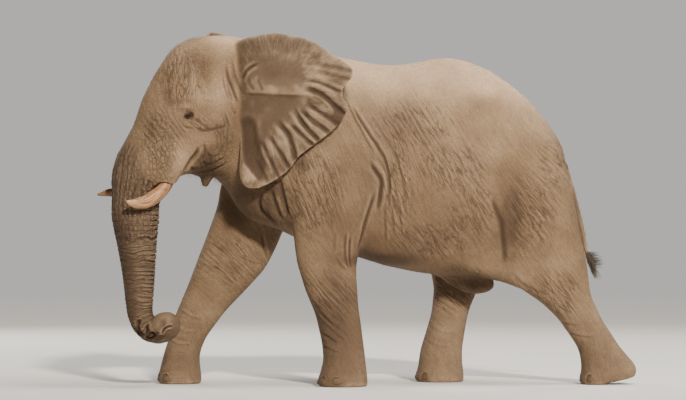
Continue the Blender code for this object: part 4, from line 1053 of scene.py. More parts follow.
PAINTED_LIGHT_AND_DUST_SPOTS = {  # middle (x, z), reach, and share: above 0 pale dust and painted light, below 0 bare hide and painted shade
    # body: pale dust and painted light on the rump; painted shade under the belly and along its
    # lower side, on the sheath, on the thigh, on the chest and throat and beside the tail; darker
    # on the mid flank, behind the shoulder and down the near foreleg
    "body": (
        ((1.55, 2.85), (0.44, 0.52), 0.6), ((0.42, 2.64), (0.42, 0.36), -0.35),
        ((0.0, 2.2), (0.12, 0.55), -0.35), ((0.12, 1.32), (0.45, 0.06), -1.2),
        ((1.62, 1.9), (0.36, 0.5), -0.45), ((1.12, 1.07), (0.38, 0.16), -1.15),
        ((-1.06, 1.86), (0.24, 0.3), -0.6), ((-1.34, 1.9), (0.18, 0.26), -1.0),
        ((0.6, 1.52), (0.8, 0.2), -0.45), ((-0.34, 0.6), (0.3, 0.5), -0.9),
        ((-0.4, 1.5), (0.26, 0.45), -0.45), ((2.26, 1.9), (0.12, 0.6), -0.8),
    ),
    # left: painted shade in the near thigh's crease, and the near ear's shadow painted on the
    # shoulder and neck
    "left": (
        ((1.42, 1.7), (0.11, 0.4), -0.9), ((-0.31, 3.04), (0.04, 0.11), -1.2),
        ((-0.79, 2.31), (0.08, 0.09), -1.2), ((-1.04, 2.08), (0.09, 0.07), -1.2),
    ),
    # right: painted shade in the far thigh's crease
    "right": (
        ((0.76, 1.7), (0.11, 0.36), -0.7),
    ),
    # head: pale dust and painted light on the temple ridge and the sheath lobe; painted shade in
    # the temple hollows, before the ear, above the eye, behind and under the sheath, round the
    # mouth, on the cheek, along the crease under the eye and on the lower lip
    "head": (
        ((-1.8, 3.06), (0.15, 0.17), 0.8), ((-2.0, 3.22), (0.06, 0.18), 0.5),
        ((-1.89, 3.36), (0.09, 0.09), -0.55), ((-1.6, 3.16), (0.06, 0.13), -0.6),
        ((-2.26, 3.08), (0.055, 0.25), -0.6), ((-2.17, 2.95), (0.09, 0.055), -0.5),
        ((-2.14, 2.36), (0.12, 0.2), 0.9), ((-1.89, 2.38), (0.12, 0.12), -0.95),
        ((-1.82, 2.22), (0.2, 0.07), -0.9), ((-1.74, 2.52), (0.16, 0.2), -0.6),
        ((-1.86, 2.665), (0.16, 0.045), -0.4), ((-1.78, 2.13), (0.12, 0.1), -1.3),
        ((-1.82, 2.72), (0.16, 0.12), -0.25),
    ),
}


def add_landmarks(height, at):
    for where, rows in LANDMARKS.items():
        for which, middle, reach, rise in rows:
            for side in (SIDES if which == 0 and middle[1] else (which or 1,)):
                away = (at.spots(where) - np.array(middle) * (1, side, 1)) / reach
                height += rise * np.exp(-(away**2).sum(1)) * (1 - at.ear)


def dust_light_and_shade(at):
    """From -1, bare hide and painted shade, to 1, thick pale dust and painted light."""
    total = 0.35 * noise(at.points, 0.5, 14) + 0.2 * noise(at.points, 0.17, 15)
    for where, rows in PAINTED_LIGHT_AND_DUST_SPOTS.items():
        seen = (1 - at.ear) * (where not in SIDES.values() or (at.side > 0) == (where == "right"))
        for middle, reach, share in rows:
            total += share * np.exp(-spread(at.spots(where)[:, (0, 2)], middle, reach)) * seen
    # Painted shade down the trunk's front side.
    total -= 0.85 * at.trunk * ease(-at.face_on[:, 0], 0.15, 0.85) * ease(at.along, 0.75, 1.05)
    back, height = at.ear_flat.T

    def patch(x, wide, z, tall):
        return hill(height - z, tall) * hill(back - x, wide)

    # Painted shade in the hollow behind the ear's front edge and in the fold inside its rim, with a
    # darker patch high on the ear.
    recess = ear_recess(back + 0.025 * noise(at.points, 0.1, 17), height)
    light_and_shade_by_form = recess + 0.35 * patch(0.42, 0.22, 3.2, 0.12) + 0.9 * patch(1.01, 0.09, 2.82, 0.13)
    mottle = 0.45 * noise(at.points, 0.11, 16) + 0.25 * noise(at.points, 0.045, 18) - 0.1
    # Painted light on the ear's lower lobe and along the ridge across it, over random mottling;
    # paler towards the upper rear.
    pale_and_lit = mottle + patch(0.05, 0.09, 2.2, 0.14) + 0.75 * patch(0.4, 0.25, 3.08, 0.06)
    pale_and_lit += 0.3 * ease(height, 3.0, 3.2) * ease(back, 0.5, 0.8)
    return np.clip(total * (1 - 0.6 * at.ear) + at.ear * (pale_and_lit - light_and_shade_by_form), -1, 1)


# --- eyelids, tusk sockets and toes ------------------------------------------------------------

EYE_RADIUS = 0.027
LID_HALF_WIDTH, LID_HALF_HEIGHT = 0.0262, 0.015
LID_SLANT = math.radians(23.0)  # the front corner is the lower one
LID_THICK = 0.0045
LID_REACH = 0.16
LID_RIPPLES = (  # rise, height and bend of the line, half width, where it ends
    (-0.0055, 0.021, 3.0, 0.0035, (0.03, 0.045)), (0.003, 0.03, 3.0, 0.006, (0.035, 0.06)),
    (-0.0035, 0.04, 3.0, 0.0035, (0.03, 0.06)), (-0.0045, -0.019, -4.0, 0.0032, (0.028, 0.045)),
    (-0.004, -0.03, -4.0, 0.0036, (0.035, 0.06)), (-0.0035, -0.042, -3.0, 0.004, (0.04, 0.07)),
)


def eye_axes(side):
    """An eye's middle and its axes in the frame: towards the trunk, up, and out of the head."""
    middle = EYE_LEFT if side < 0 else EYE_RIGHT
    out = unit(turned((-0.2, side * 1.0, 0.04), HEAD_TURN))
    ahead = turned((-1.0, 0.0, 0.0), HEAD_TURN)
    ahead = unit(ahead - out * (ahead @ out))
    up = np.cross(ahead, out)
    up = unit(up) if up[2] > 0 else -unit(up)
    c, s = math.cos(LID_SLANT), math.sin(LID_SLANT)
    return middle, np.stack([c * ahead - s * up, s * ahead + c * up, out])


def shape_lids(points, furrow):
    for side in SIDES:
        middle, axes = eye_axes(side)
        near = np.flatnonzero(np.linalg.norm(points - middle, axis=1) < LID_REACH)
        near = near[(points[near] - middle) @ axes[2] > -0.035]
        u, v, w = ((points[near] - middle) @ axes.T).T
        beside = np.abs(u)
        tall = np.where(v > 0, LID_HALF_HEIGHT, 0.8 * LID_HALF_HEIGHT)
        tall = tall * (1 - 0.35 * np.clip(beside / LID_HALF_WIDTH, 0, 1))
        almond = np.hypot(u / LID_HALF_WIDTH, v / tall)
        ball = np.sqrt(np.clip(EYE_RADIUS**2 - u**2 - v**2, 0, None))
        lid = (EYE_RADIUS + LID_THICK) ** 2 - u**2 - (0.9 * v) ** 2
        upper = ease(v, -0.006, 0.006)
        heavy = np.sqrt(np.clip(lid, LID_THICK**2, None)) + upper * 0.0035 + 0.001
        hug = 1 - ease(np.hypot(u, v), 0.026, 0.062)
        ripple = np.zeros(len(near))
        for number, (rise, level, bend, width, ends) in enumerate(LID_RIPPLES):
            line = hill(v - level + bend * u**2, width) * (1 - ease(beside, *ends))
            ripple += rise * line * (upper if number == 0 else 1)
        corner = -0.004 * hill(np.hypot(beside - 0.036, v - 0.25 * u), 0.008)
        above, below = np.hypot(u / 1.25, v - 0.046), np.hypot(u / 1.4, v + 0.05)
        socket = -0.01 * (hill(above, 0.016) + 0.6 * hill(below, 0.014))
        target = w * (1 - hug) + heavy * hug + 1.35 * ripple + corner + socket
        inside = 1 - ease(almond, 0.93, 1.05)
        sunk = ball - 0.012 - 0.02 * (1 - ease(almond, 0.5, 0.93))
        target = target * (1 - inside) + sunk * inside
        points[near] += (target - w)[:, None] * axes[2]
        # Painted shade under the lids' ripples and corners and in the opening, and a dark patch
        # round the eye, partly its darker skin and partly painted shade.
        dark = np.clip(-(ripple + corner) / 0.005, 0, 1) + (1 - ease(almond, 1.0, 1.6))
        around = np.hypot(u / 0.084, (v - 0.002) / 0.046)
        dark = np.maximum(dark, 0.94 * (1 - ease(around, 0.46, 1.0)))
        furrow[near] = np.maximum(furrow[near], np.clip(dark, 0, 1))


SOCKET_REACH = 0.3


def shape_sockets(points, furrow, normals):
    """A raised lip and a crease where the hide meets each tusk."""
    for side in SIDES:
        rows = tusk_rows(side)
        heads = to_head(points)
        near = np.flatnonzero(np.linalg.norm(heads - rows[1, :3], axis=1) < SOCKET_REACH)
        away = np.full(len(near), FAR_OFF)
        for *middle, radius in through(rows, 8):
            away = np.minimum(away, np.linalg.norm(heads[near] - middle, axis=1) - radius)
        low = 1 - ease(heads[near, 2], 2.2, 2.3)
        rise = low * (0.007 * hill(away - 0.026, 0.013) - 0.012 * hill(away, 0.009))
        points[near] += rise[:, None] * normals[near]
        # Painted shade in the crease round the tusk.
        furrow[near] = np.maximum(furrow[near], low * hill(away, 0.013))


NAIL_FLATNESS = 0.72  # of the solid's own thickness
NAIL_REACH = 0.13


def nail_axes(name):
    """A nail's middle, its axes (across, up, out) and its half sizes, from its solid."""
    points, _ = solid_of(name, 0.0)
    middle = (points.min(0) + points.max(0)) / 2
    out = middle - middle_of(name.replace("nail_", "")[:-2])
    out[2] = 0.1
    out = unit(out)
    across = unit(np.cross((0, 0, 1), out))
    axes = np.stack([across, np.cross(out, across), out])
    return middle, axes, np.abs((points - middle) @ axes.T).max(0) * (1.0, 1.0, NAIL_FLATNESS)


def shape_toes(points, furrow):
    """A bed under each nail and a cuticle round it."""
    for name in NAILS:
        middle, axes, sizes = nail_axes(name)
        rel = points - middle
        near = np.flatnonzero(np.linalg.norm(rel, axis=1) < NAIL_REACH)
        u, v, w = (rel[near] @ axes.T).T
        disc = np.hypot(u / sizes[0], v / sizes[1])
        face = sizes[2] * np.sqrt(np.clip(1 - disc**2, 0.0, None))
        outer = w > -0.6 * sizes[2]
        sink = (1 - ease(disc, 0.88, 1.0)) * outer * (np.minimum(w, face - 0.006) - w)
        cuticle = hill(disc - 1.12, 0.1) * outer * ease(v, -0.03, 0.0)
        points[near] += (sink + 0.004 * cuticle)[:, None] * axes[2]
        # Painted shade in the crease round the nail.
        furrow[near] = np.maximum(furrow[near], outer * 0.9 * hill(disc - 1.0, 0.07))


# --- the hide's flat map -----------------------------------------------------------------------


CHART_GAP = 0.03
WAYS_SEEN = 6


def region_of(at):
    """The number of the region that each vertex of the hide belongs to."""
    region = np.zeros(len(at.points), int)
    region[at.skull > 0.5] = 1
    region[at.trunk > 0.5] = 2
    region[(at.trunk > 0.5) & (at.along > at.trunk_length - TIP_LENGTH)] = 3
    region[(at.ear > 0.5) & (at.side < 0)] = 4
    region[(at.ear > 0.5) & (at.side > 0)] = 5
    x, y, z = at.body.T
    for number, (side, line) in enumerate(LEGS.values()):
        region[(z < 1.3) & (np.sign(y) == side) & (at.trunk < 0.5)
               & (np.abs(x - leg_middle(line, z)) < 0.62)] = 6 + number
    region[within(at.body, x=(2.2, FAR_OFF), y=(-0.12, 0.12), z=(1.0, FAR_OFF))] = 10
    return region


def write_hide_map(mesh, at, soft_normals):
    """Lays the hide out flat: each region seen from each of six ways, side by side."""
    normal = soft_normals[at.tris].mean(1)
    axis = np.argmax(np.abs(normal), axis=1)
    ahead = np.take_along_axis(normal, axis[:, None], 1)[:, 0] > 0
    chart = region_of(at)[at.tris[:, 0]] * WAYS_SEEN + axis * 2 + ahead
    flat_axes = np.array(((1, 2), (0, 2), (0, 1)))[axis]
    flat = np.take_along_axis(at.points[at.tris], flat_axes[:, None].repeat(3, 1), 2)
    boxes = []
    for number in np.unique(chart):
        spots = flat[chart == number].reshape(-1, 2)
        boxes.append((number, spots.min(0), spots.max(0) - spots.min(0)))
    boxes.sort(key=lambda box: -box[2][1])
    width = 1.12 * math.sqrt(sum(np.prod(size + CHART_GAP) for *_, size in boxes))
    across, up, shelf = CHART_GAP, CHART_GAP, 0.0
    for number, low, size in boxes:
        if across + size[0] + CHART_GAP > width:
            across, up, shelf = CHART_GAP, up + shelf + CHART_GAP, 0.0
        flat[chart == number] += np.array((across, up)) - low
        across, shelf = across + size[0] + CHART_GAP, max(shelf, size[1])
    whole = max(width, up + shelf + CHART_GAP)
    layer = mesh.uv_layers.new(name="OFBake")
    layer.uv.foreach_set("vector", (flat / whole).astype(np.float32).ravel())


def store(mesh, name, values):
    values = np.asarray(values, np.float32)
    kind = "FLOAT" if values.ndim == 1 else "FLOAT_VECTOR"
    field = mesh.attributes.new(name, kind, "POINT")
    field.data.foreach_set("value" if values.ndim == 1 else "vector", values.ravel())


FLOOR_GAP = 0.0004  # how far the soles stay over the floor


def from_eyes(points):
    """How far each point is from the middle of the nearer eye."""
    return np.minimum(*(np.linalg.norm(points - eye, axis=1) for eye in (EYE_LEFT, EYE_RIGHT)))


def make_hide(grain, relief):
    """The one skin of the bull: its places, their links, and how deep and hollow they lie."""
    body = smooth_body(1.8 * grain)
    points, tris = skinned([body, *(ear_form(side) for side in SIDES),
                            solid_of("eye_left"), solid_of("eye_right")], grain)
    points = Links(tris, len(points)).soft(points, 2)
    at = Places(points, tris)
    toes = np.full(len(points), FAR_OFF)
    for name in NAILS:
        toes = np.minimum(toes, np.linalg.norm(points - middle_of(name), axis=1))
    tip = at.along > at.trunk_length - 0.55
    mouth = within(at.head, x=(-2.35, -1.5), z=(2.0, 2.5))
    face = (at.skull > 0.5) & within(at.head, x=(-FAR_OFF, -1.62), z=(-FAR_OFF, 3.45))
    marked = (from_eyes(points) < 0.2) | (toes < 0.085) | tip | mouth | (at.trunk > 0.3) | face
    points, tris = refined(points, tris, marked[tris[:, 0]])
    for reach in (0.12, 0.075):
        points, tris = refined(points, tris, (from_eyes(points) < reach)[tris[:, 0]])
    links = Links(tris, len(points))
    points = links.soft(points, 2)
    at.refresh(points, tris)
    # furrow: where shade is painted into creases, folds, pleats and seams, round the eyes, tusks
    # and nails.
    height, furrow = np.zeros(len(points)), np.zeros(len(points))
    add_landmarks(height, at)
    broad = height.copy()
    for add in (add_folds, add_wrinkles, add_trunk, add_net):
        add(height, furrow, at)
    calm = 0.15 + 0.85 * ease(from_eyes(points), 0.045, 0.095)
    height, furrow = height * calm, furrow * calm
    sole = ease(points[:, 2], 0.004, 0.05)
    height = broad * sole + (height - broad) * relief * sole
    points = points + height[:, None] * at.normals
    # Painted shade in the ear's pleats.
    for side in SIDES:
        mine = (at.ear > 0.2) & (at.side == side)
        _, fold = ear_relief(at.ear_flat[mine], side)
        fold *= at.ear[mine] * (at.ear_out[mine] > -0.005)
        furrow[mine] = np.maximum(furrow[mine], fold)
    shape_sockets(points, furrow, normals_at(points, tris))
    shape_lids(points, furrow)
    shape_toes(points, furrow)
    points[:, 2] = np.maximum(points[:, 2], FLOOR_GAP)
    joins = (np.abs(links.mean(at.owner) - at.owner) > 1e-6).astype(float)
    at.wrinkle = at.wrinkle * (1 - np.clip(1.8 * links.soft(joins, 2), 0, 1))
    # hollow: how sunk each place lies; the hide's material paints shade in the hollows and light on
    # the bulges from it.
    sunk = ((links.soft(points, 14) - points) * normals_at(points, tris)).sum(1)
    at.refresh(points, tris)
    return at, links, furrow, np.clip(sunk / 0.01, -1, 1)


# --- materials ---------------------------------------------------------------------------------


def new_group(name, settings, outputs):
    """A node group from a place and some numbers to some numbers: its sheet and both its ends."""
    group = bpy.data.node_groups.new(name, "ShaderNodeTree")

    def add(label, way, kind="NodeSocketFloat"):
        return group.interface.new_socket(name=label, in_out=way, socket_type=kind)

    add("Place", "INPUT", "NodeSocketVector")
    for label, value in settings.items():
        add(label, "INPUT").default_value = value
    for label in outputs:
        add(label, "OUTPUT")
    start, end = group.nodes.new("NodeGroupInput"), group.nodes.new("NodeGroupOutput")
    return group, Sheet(group), start.outputs, end.inputs


class Sheet:
    """Adds nodes to a node tree and joins them."""

    def __init__(self, tree):
        self.tree, self.nodes = tree, tree.nodes

    def join(self, socket, value):
        if isinstance(value, bpy.types.NodeSocket):
            self.tree.links.new(value, socket)
        else:
            socket.default_value = value

    def put(self, kind, *wires, **values):
        node = self.nodes.new("ShaderNode" + kind)
        for key, value in values.items():
            setattr(node, key, value)
        for socket, value in wires:
            self.join(node.inputs[socket], value)
        return node

    def put_group(self, group, *values):
        node = self.put("Group", node_tree=group)
        for socket, value in zip(node.inputs, values):
            self.join(socket, value)
        return node.outputs

    def maths(self, operation, first, second=0.0, third=0.0, clamp=False):
        return self.put("Math", (0, first), (1, second), (2, third), operation=operation,
                        use_clamp=clamp).outputs[0]

    def times(self, first, second):
        return self.maths("MULTIPLY", first, second)

    def scaled(self, value, by, plus):
        return self.maths("MULTIPLY_ADD", value, by, plus)

    def most(self, first, second, clamp=False):
        return self.maths("MAXIMUM", first, second, clamp=clamp)

    def vector(self, operation, first, second):
        return self.put("VectorMath", (0, first), (1, second), operation=operation).outputs[0]

    def blend(self, share, first, second, mode="MIX"):
        return self.put("Mix", (0, share), (6, first), (7, second), data_type="RGBA",
                        blend_type=mode).outputs[2]

    def ramp(self, value, low, high, first=0.0, last=1.0):
        """A tone that goes from the first to the last as the value goes from low to high."""
        node = self.put("ValToRGB", (0, value))
        for mark, place, tone in zip(node.color_ramp.elements, (low, high), (first, last)):
            mark.position, mark.color = place, (tone, tone, tone, 1.0)
        return node.outputs[0]

    def smooth(self, value, low, high, *more):
        """A smooth rise from 0 to 1 as the value goes from low to high."""
        return self.put("MapRange", ("Value", value), ("From Min", low), ("From Max", high), *more,
                        interpolation_type="SMOOTHSTEP").outputs[0]

    def near_zero(self, value, reach):
        """1 where the value is 0, fading smoothly to 0 at the reach."""
        return self.smooth(value, 0.0, reach, ("To Min", 1.0), ("To Max", 0.0))

    def grain(self, place, scale, detail=3.0, rough=0.55):
        return self.put("TexNoise", ("Vector", place), ("Scale", scale), ("Detail", detail),
                        ("Roughness", rough)).outputs[0]

    def place(self):
        return self.put("TexCoord").outputs["Object"]

    def field(self, name, output="Fac"):
        return self.put("Attribute", attribute_name=name).outputs[output]

    def show_both(self, share, first, second, output):
        """Mixes two shaders and shows them."""
        both = self.put("MixShader", (0, share), (1, first), (2, second))
        self.join(self.nodes[output].inputs[0], both.outputs[0])

    def dress(self, shader, values, height=None):
        """Joins or sets the shader's sockets, and lays a height over the surface as a bump."""
        for label, value in values.items():
            self.join(shader.inputs[label], value)
        if height is not None:
            bump = self.put("Bump", ("Height", height), ("Strength", 1.0), ("Distance", 1.0))
            self.join(shader.inputs["Normal"], bump.outputs[0])


def crack_group():
    """A net of fine cracks: how high the skin stands, and where its seams are."""
    group, sheet, start, end = new_group(
        "skin_cracks", {"Cells per metre": 40.0, "Seam": 0.12}, ("Height", "Seams"))
    bend = sheet.put("TexNoise", ("Vector", start[0]), ("Scale", 9.0), ("Detail", 2.0))
    moved = sheet.vector("MULTIPLY", bend.outputs["Color"], (0.05, 0.05, 0.05))
    place = sheet.vector("ADD", start[0], moved)
    cells = sheet.put("TexVoronoi", ("Vector", place), ("Scale", start[1]),
                      feature="DISTANCE_TO_EDGE")
    seam = sheet.near_zero(cells.outputs["Distance"], start[2])
    sheet.join(end[0], sheet.maths("SUBTRACT", 1.0, seam))
    sheet.join(end[1], seam)
    return group


def wrinkle_group():
    """Long thin creases that run across the second axis of a place: their height and lines."""
    group, sheet, start, end = new_group(
        "skin_wrinkles", {"Lines per metre": 15.0, "Breadth": 0.14}, ("Height", "Lines"))
    drawn = sheet.vector("MULTIPLY", start[0], (0.17, 1.0, 0.17))
    lines = sheet.put("TexNoise", ("Vector", drawn), ("Scale", start[1]), ("Detail", 2.5),
                      ("Roughness", 0.5), ("Distortion", 0.35))
    ridged = sheet.maths("ABSOLUTE", sheet.scaled(lines.outputs[0], 4.0, -2.0))
    sheet.join(end[0], sheet.maths("MINIMUM", ridged, 1.0))
    sheet.join(end[1], sheet.near_zero(ridged, start[2]))
    return group


def dust_group():
    """Patches of dust and worn skin: two masks of different grain."""
    group, sheet, start, end = new_group("dust_patches", {}, ("Broad", "Fine"))
    sheet.join(end[0], sheet.ramp(sheet.grain(start[0], 1.7, 5.0, 0.6), 0.36, 0.66))
    sheet.join(end[1], sheet.ramp(sheet.grain(start[0], 22.0, 4.0, 0.65), 0.34, 0.68))
    return group


def new_material(name):
    material = bpy.data.materials.new(name)
    material.use_nodes = True
    sheet = Sheet(material.node_tree)
    return material, sheet, material.node_tree.nodes["Principled BSDF"]


def colour(values, share=1.0):
    return tuple(v * share for v in values[:3]) + (1.0,)


def hide_material(sizes):
    material, sheet, shader = new_material("hide")
    place, flow = sheet.place(), sheet.field("flow", "Vector")
    furrow, hollow, trunk, ear, low, back, wrinkle, knobby, dusty = map(sheet.field, (
        "furrow", "hollow", "trunk", "ear", "low", "back", "wrinkle", "knobby", "dusty"))
    cracks, creases = crack_group(), wrinkle_group()
    coarse = sheet.put_group(cracks, place, 38.0, 0.16)
    finer = sheet.put_group(cracks, place, 95.0, 0.2)
    upright = sheet.vector("MULTIPLY", place, (1.1, 1.1, 0.65))
    lumps = sheet.put_group(cracks, upright, 21.0, 0.24)
    broad_lines = sheet.put_group(creases, flow, 18.0, 0.24)
    fine_lines = sheet.put_group(creases, flow, 44.0, 0.34)
    patches = sheet.put_group(dust_group(), place)
    base = sheet.blend(patches[0], colour(sizes.hide_colour), colour(sizes.dust_colour))
    # Tones from the hide's stored marks: the back paler where it faces up (pale dust and painted
    # light from above), the trunk's, legs' and ears' own tones, then pale dust and painted light
    # where the spots are pale, bare hide and painted shade where they are dark.
    bare_and_shaded = sheet.most(sheet.times(dusty, -1.0), 0.0)
    for mask, share, hue in (
        (back, 0.85, colour(sizes.back_colour)), (trunk, 0.8, colour(sizes.trunk_colour)),
        (low, 0.55, colour(sizes.leg_colour)), (ear, 0.8, colour(sizes.ear_colour)),
        (sheet.most(dusty, 0.0), 0.75, colour(sizes.back_colour, 0.92)),
        (bare_and_shaded, 0.72, colour(sizes.furrow_colour, 1.8)),
    ):
        base = sheet.blend(sheet.times(mask, share), base, hue)
    speck = sheet.scaled(patches[1], 0.2, 0.9)
    grey = sheet.put("CombineColor", (0, speck), (1, speck), (2, speck)).outputs[0]
    base = sheet.blend(1.0, base, grey, "MULTIPLY")
    # Ridges and bulges made paler by dust on them and by painted light, less so where shade is
    # painted.
    raised = sheet.most(sheet.times(lumps[0], knobby), sheet.times(broad_lines[0], wrinkle))
    light_and_shade_by_form = sheet.ramp(sheet.times(hollow, -1.0), 0.02, 0.45)
    for mask, share, tone in ((raised, 0.16, 0.8), (light_and_shade_by_form, 0.45, 0.95)):
        mask = sheet.times(mask, sheet.scaled(bare_and_shaded, -share, share))
        base = sheet.blend(mask, base, colour(sizes.back_colour, tone))
    # Painted shade in the cracks, wrinkle lines, folds, creases and hollows of the hide.
    seams = sheet.most(sheet.times(coarse[1], 0.34), sheet.times(finer[1], 0.22))
    seams = sheet.times(seams, sheet.scaled(sheet.most(back, ear), -0.6, 1.0))
    lined = sheet.most(sheet.times(broad_lines[1], 0.72), sheet.times(fine_lines[1], 0.55))
    seams = sheet.most(seams, sheet.times(lined, wrinkle))
    seams = sheet.most(seams, sheet.times(lumps[1], sheet.times(knobby, 0.7)))
    deep = sheet.most(sheet.times(furrow, 0.92), sheet.times(sheet.ramp(hollow, 0.03, 0.6), 0.72))
    base = sheet.blend(sheet.most(seams, deep, clamp=True), base, colour(sizes.furrow_colour))
    tall = sheet.times(coarse[0], sheet.times(sheet.scaled(ear, -0.6, 1.0), 0.003))
    ridges = sheet.times(sheet.scaled(fine_lines[0], 0.55, broad_lines[0]), wrinkle)
    for part, rise in ((finer[0], 0.001), (sheet.grain(place, 260.0), 0.0008),
                       (ridges, 0.0075), (sheet.times(lumps[0], knobby), 0.008)):
        tall = sheet.scaled(part, rise, tall)
    rough = sheet.scaled(patches[1], 0.14, 0.74)
    sheet.dress(shader, {"Base Color": base, "Roughness": rough, "Specular IOR Level": 0.28}, tall)
    return material


def ivory_material(sizes):
    material, sheet, shader = new_material("ivory")
    place, along = sheet.place(), sheet.field("along")
    ivory, stain = sizes.ivory_colour, sizes.stain_colour
    streak = sheet.grain(sheet.field("streak", "Vector"), 3.0, 5.0, 0.6)
    patches = sheet.grain(place, 14.0, 4.0, 0.6)
    base = colour(ivory)
    for mask, hue in (
        (sheet.ramp(streak, 0.4, 0.62), colour(stain)),
        (sheet.ramp(along, 0.0, 0.38, 1.0, 0.0), colour(stain, 0.55)),
        (sheet.ramp(along, 0.72, 1.0, 0.0, 0.55), colour(ivory, 1.25)),
        (sheet.times(sheet.ramp(patches, 0.52, 0.66), 0.6), colour(stain, 0.45)),
        # Painted shade: the far tusk darkened all over.
        (sheet.times(sheet.field("earthy"), 0.8), colour(stain, 0.8)),
    ):
        base = sheet.blend(mask, base, hue)
    tall = sheet.scaled(sheet.grain(place, 180.0), 0.0002, sheet.times(streak, 0.0012))
    sheet.dress(shader, {"Base Color": base, "Roughness": sheet.scaled(patches, 0.35, 0.26)}, tall)
    return material


PUPIL_COLOUR = (0.003, 0.002, 0.002, 1.0)
EYE_RIM_COLOUR = (0.03, 0.014, 0.01, 1.0)


def eye_material(sizes):
    material, sheet, shader = new_material("eye")
    out = sheet.field("off_axis")
    spokes = sheet.grain(sheet.field("spokes", "Vector"), 2.0, 3.0, 0.6)
    iris = sheet.blend(spokes, colour(sizes.iris_colour, 0.6), colour(sizes.iris_colour, 1.5))
    base = sheet.blend(sheet.ramp(out, 0.3, 0.36), PUPIL_COLOUR, iris)
    base = sheet.blend(sheet.ramp(out, 0.62, 0.74), base, EYE_RIM_COLOUR)
    sheet.dress(shader, {"Base Color": base, "Roughness": sheet.scaled(spokes, 0.03, 0.04),
                         "Specular IOR Level": 0.2, "Coat Weight": 0.05, "Coat Roughness": 0.03})
    return material


def nail_material(sizes):
    material, sheet, shader = new_material("nail")
    place, horn = sheet.place(), sizes.nail_colour
    ridges = sheet.grain(sheet.vector("MULTIPLY", place, (90.0, 90.0, 9.0)), 1.0, 4.0, 0.6)
    mottled = sheet.grain(place, 30.0, 4.0, 0.6)
    base = sheet.blend(sheet.ramp(ridges, 0.35, 0.68), colour(horn), colour(horn, 0.6))
    dusty = sheet.times(sheet.ramp(mottled, 0.5, 0.7), 0.5)
    base = sheet.blend(dusty, base, colour(sizes.dust_colour))
    sheet.dress(shader, {"Base Color": base, "Roughness": sheet.scaled(mottled, 0.2, 0.62),
                         "Specular IOR Level": 0.25}, sheet.times(ridges, 0.0014))
    return material


def hair_material(name, hue):
    material, sheet, shader = new_material(name)
    tone = sheet.grain(sheet.place(), 60.0, 3.0, 0.6)
    sheet.dress(shader, {"Base Color": sheet.blend(tone, colour(hue, 0.6), colour(hue, 1.6)),
                         "Roughness": sheet.scaled(tone, 0.2, 0.38)})
    return material


# --- tusks, eyes, nails and hair ---------------------------------------------------------------


def facing_out(points, tris):
    a, b, c = points[tris[:, 0]], points[tris[:, 1]], points[tris[:, 2]]
    return tris if (np.cross(a, b) * c).sum() > 0 else tris[:, ::-1]


def make_tusk(side, around, steps=16):
    points, tris, run = tube(tusk_rows(side), steps, around)
    count = len(run)
    turn = np.tile(around_circle(around), count)
    share = np.repeat(np.linspace(0, 1, count), around)
    centre = np.repeat(run[:, :3], around, axis=0)
    wave = np.c_[np.cos(turn) * 2.2, np.sin(turn) * 2.2, share * 5.0]
    relief = sum(rise * noise(wave, size, seed) for seed, (rise, size) in enumerate((
        (0.03, (0.5, 0.5, 2.4)), (0.014, (0.22, 0.22, 2.0)), (0.012, (1.2, 1.2, 0.35))), 1))
    relief = 1 + relief * (1 - 0.6 * ease(share, 0.78, 1.0))
    points[:-2] = centre + (points[:-2] - centre) * relief[:, None]
    streak = np.vstack([wave * (1.0, 1.0, 0.35), wave[:1], wave[-1:]])
    along = np.concatenate([share, [0.0, 1.0]])
    flat = np.c_[np.concatenate([turn / 6.6, [0.0, 0.0]]), along * 0.95] + 0.02
    return from_head(points), facing_out(points, tris), along, streak, flat


def ring_on_ball(angle, turn, across, tall, deep):
    """A ring of points on a ball of such half sizes, at an angle from its pole."""
    return np.stack([across * math.sin(angle) * np.cos(turn), tall * math.sin(angle) * np.sin(turn),
                     np.full(len(turn), deep * math.cos(angle))], -1)


EYE_BACK = 0.0006  # how much smaller than the socket the ball is
CORNEA = 0.0012  # how far the cornea stands out of the ball


def make_eye(side, rings=40, around=64):
    middle, axes = eye_axes(side)
    rows = []
    for angle in np.linspace(0, math.pi, rings + 2)[1:-1]:
        radius = EYE_RADIUS - EYE_BACK + CORNEA * (1 - ease(angle, 0.45, 0.75))
        rows.append(ring_on_ball(angle, around_circle(around), radius, radius, radius))
    local = np.vstack([*rows, (0, 0, EYE_RADIUS + EYE_BACK), (0, 0, EYE_BACK - EYE_RADIUS)])
    x, y, z = local.T
    off, angle = np.arctan2(np.hypot(x, y), z), np.arctan2(y, x)
    round_axis = np.stack([np.cos(angle), np.sin(angle)], -1)
    flat = 0.5 + 0.15 * off[:, None] * round_axis
    tris = facing_out(local, ring_faces(rings, around))
    return middle + local @ axes, tris, off, np.c_[round_axis * 4, off], flat


NAIL_WRAP = math.radians(118)  # how far a nail's face curves round to its root


def make_nail(name, around, rings=14):
    middle, axes, (across, tall, deep) = nail_axes(name)
    turn = around_circle(around)
    ridge = 1 + 0.01 * np.sin(9 * np.cos(turn) + 1.3)
    rows = [ring_on_ball(share * NAIL_WRAP, turn, across * ridge, tall, deep)
            for share in np.linspace(0.04, 1.0, rings)]
    local = np.vstack([*rows, (0, 0, deep), rows[-1].mean(0)])
    u, v = local[:, 0], local[:, 1]
    local[:, 2] += 0.0009 * noise(np.c_[u, v * 0.1, v * 0], 0.006, 5)
    local[:, 2] -= 0.0012 * hill(v - 0.3 * tall, 0.004)
    return middle + local @ axes, facing_out(local, ring_faces(rings, around))


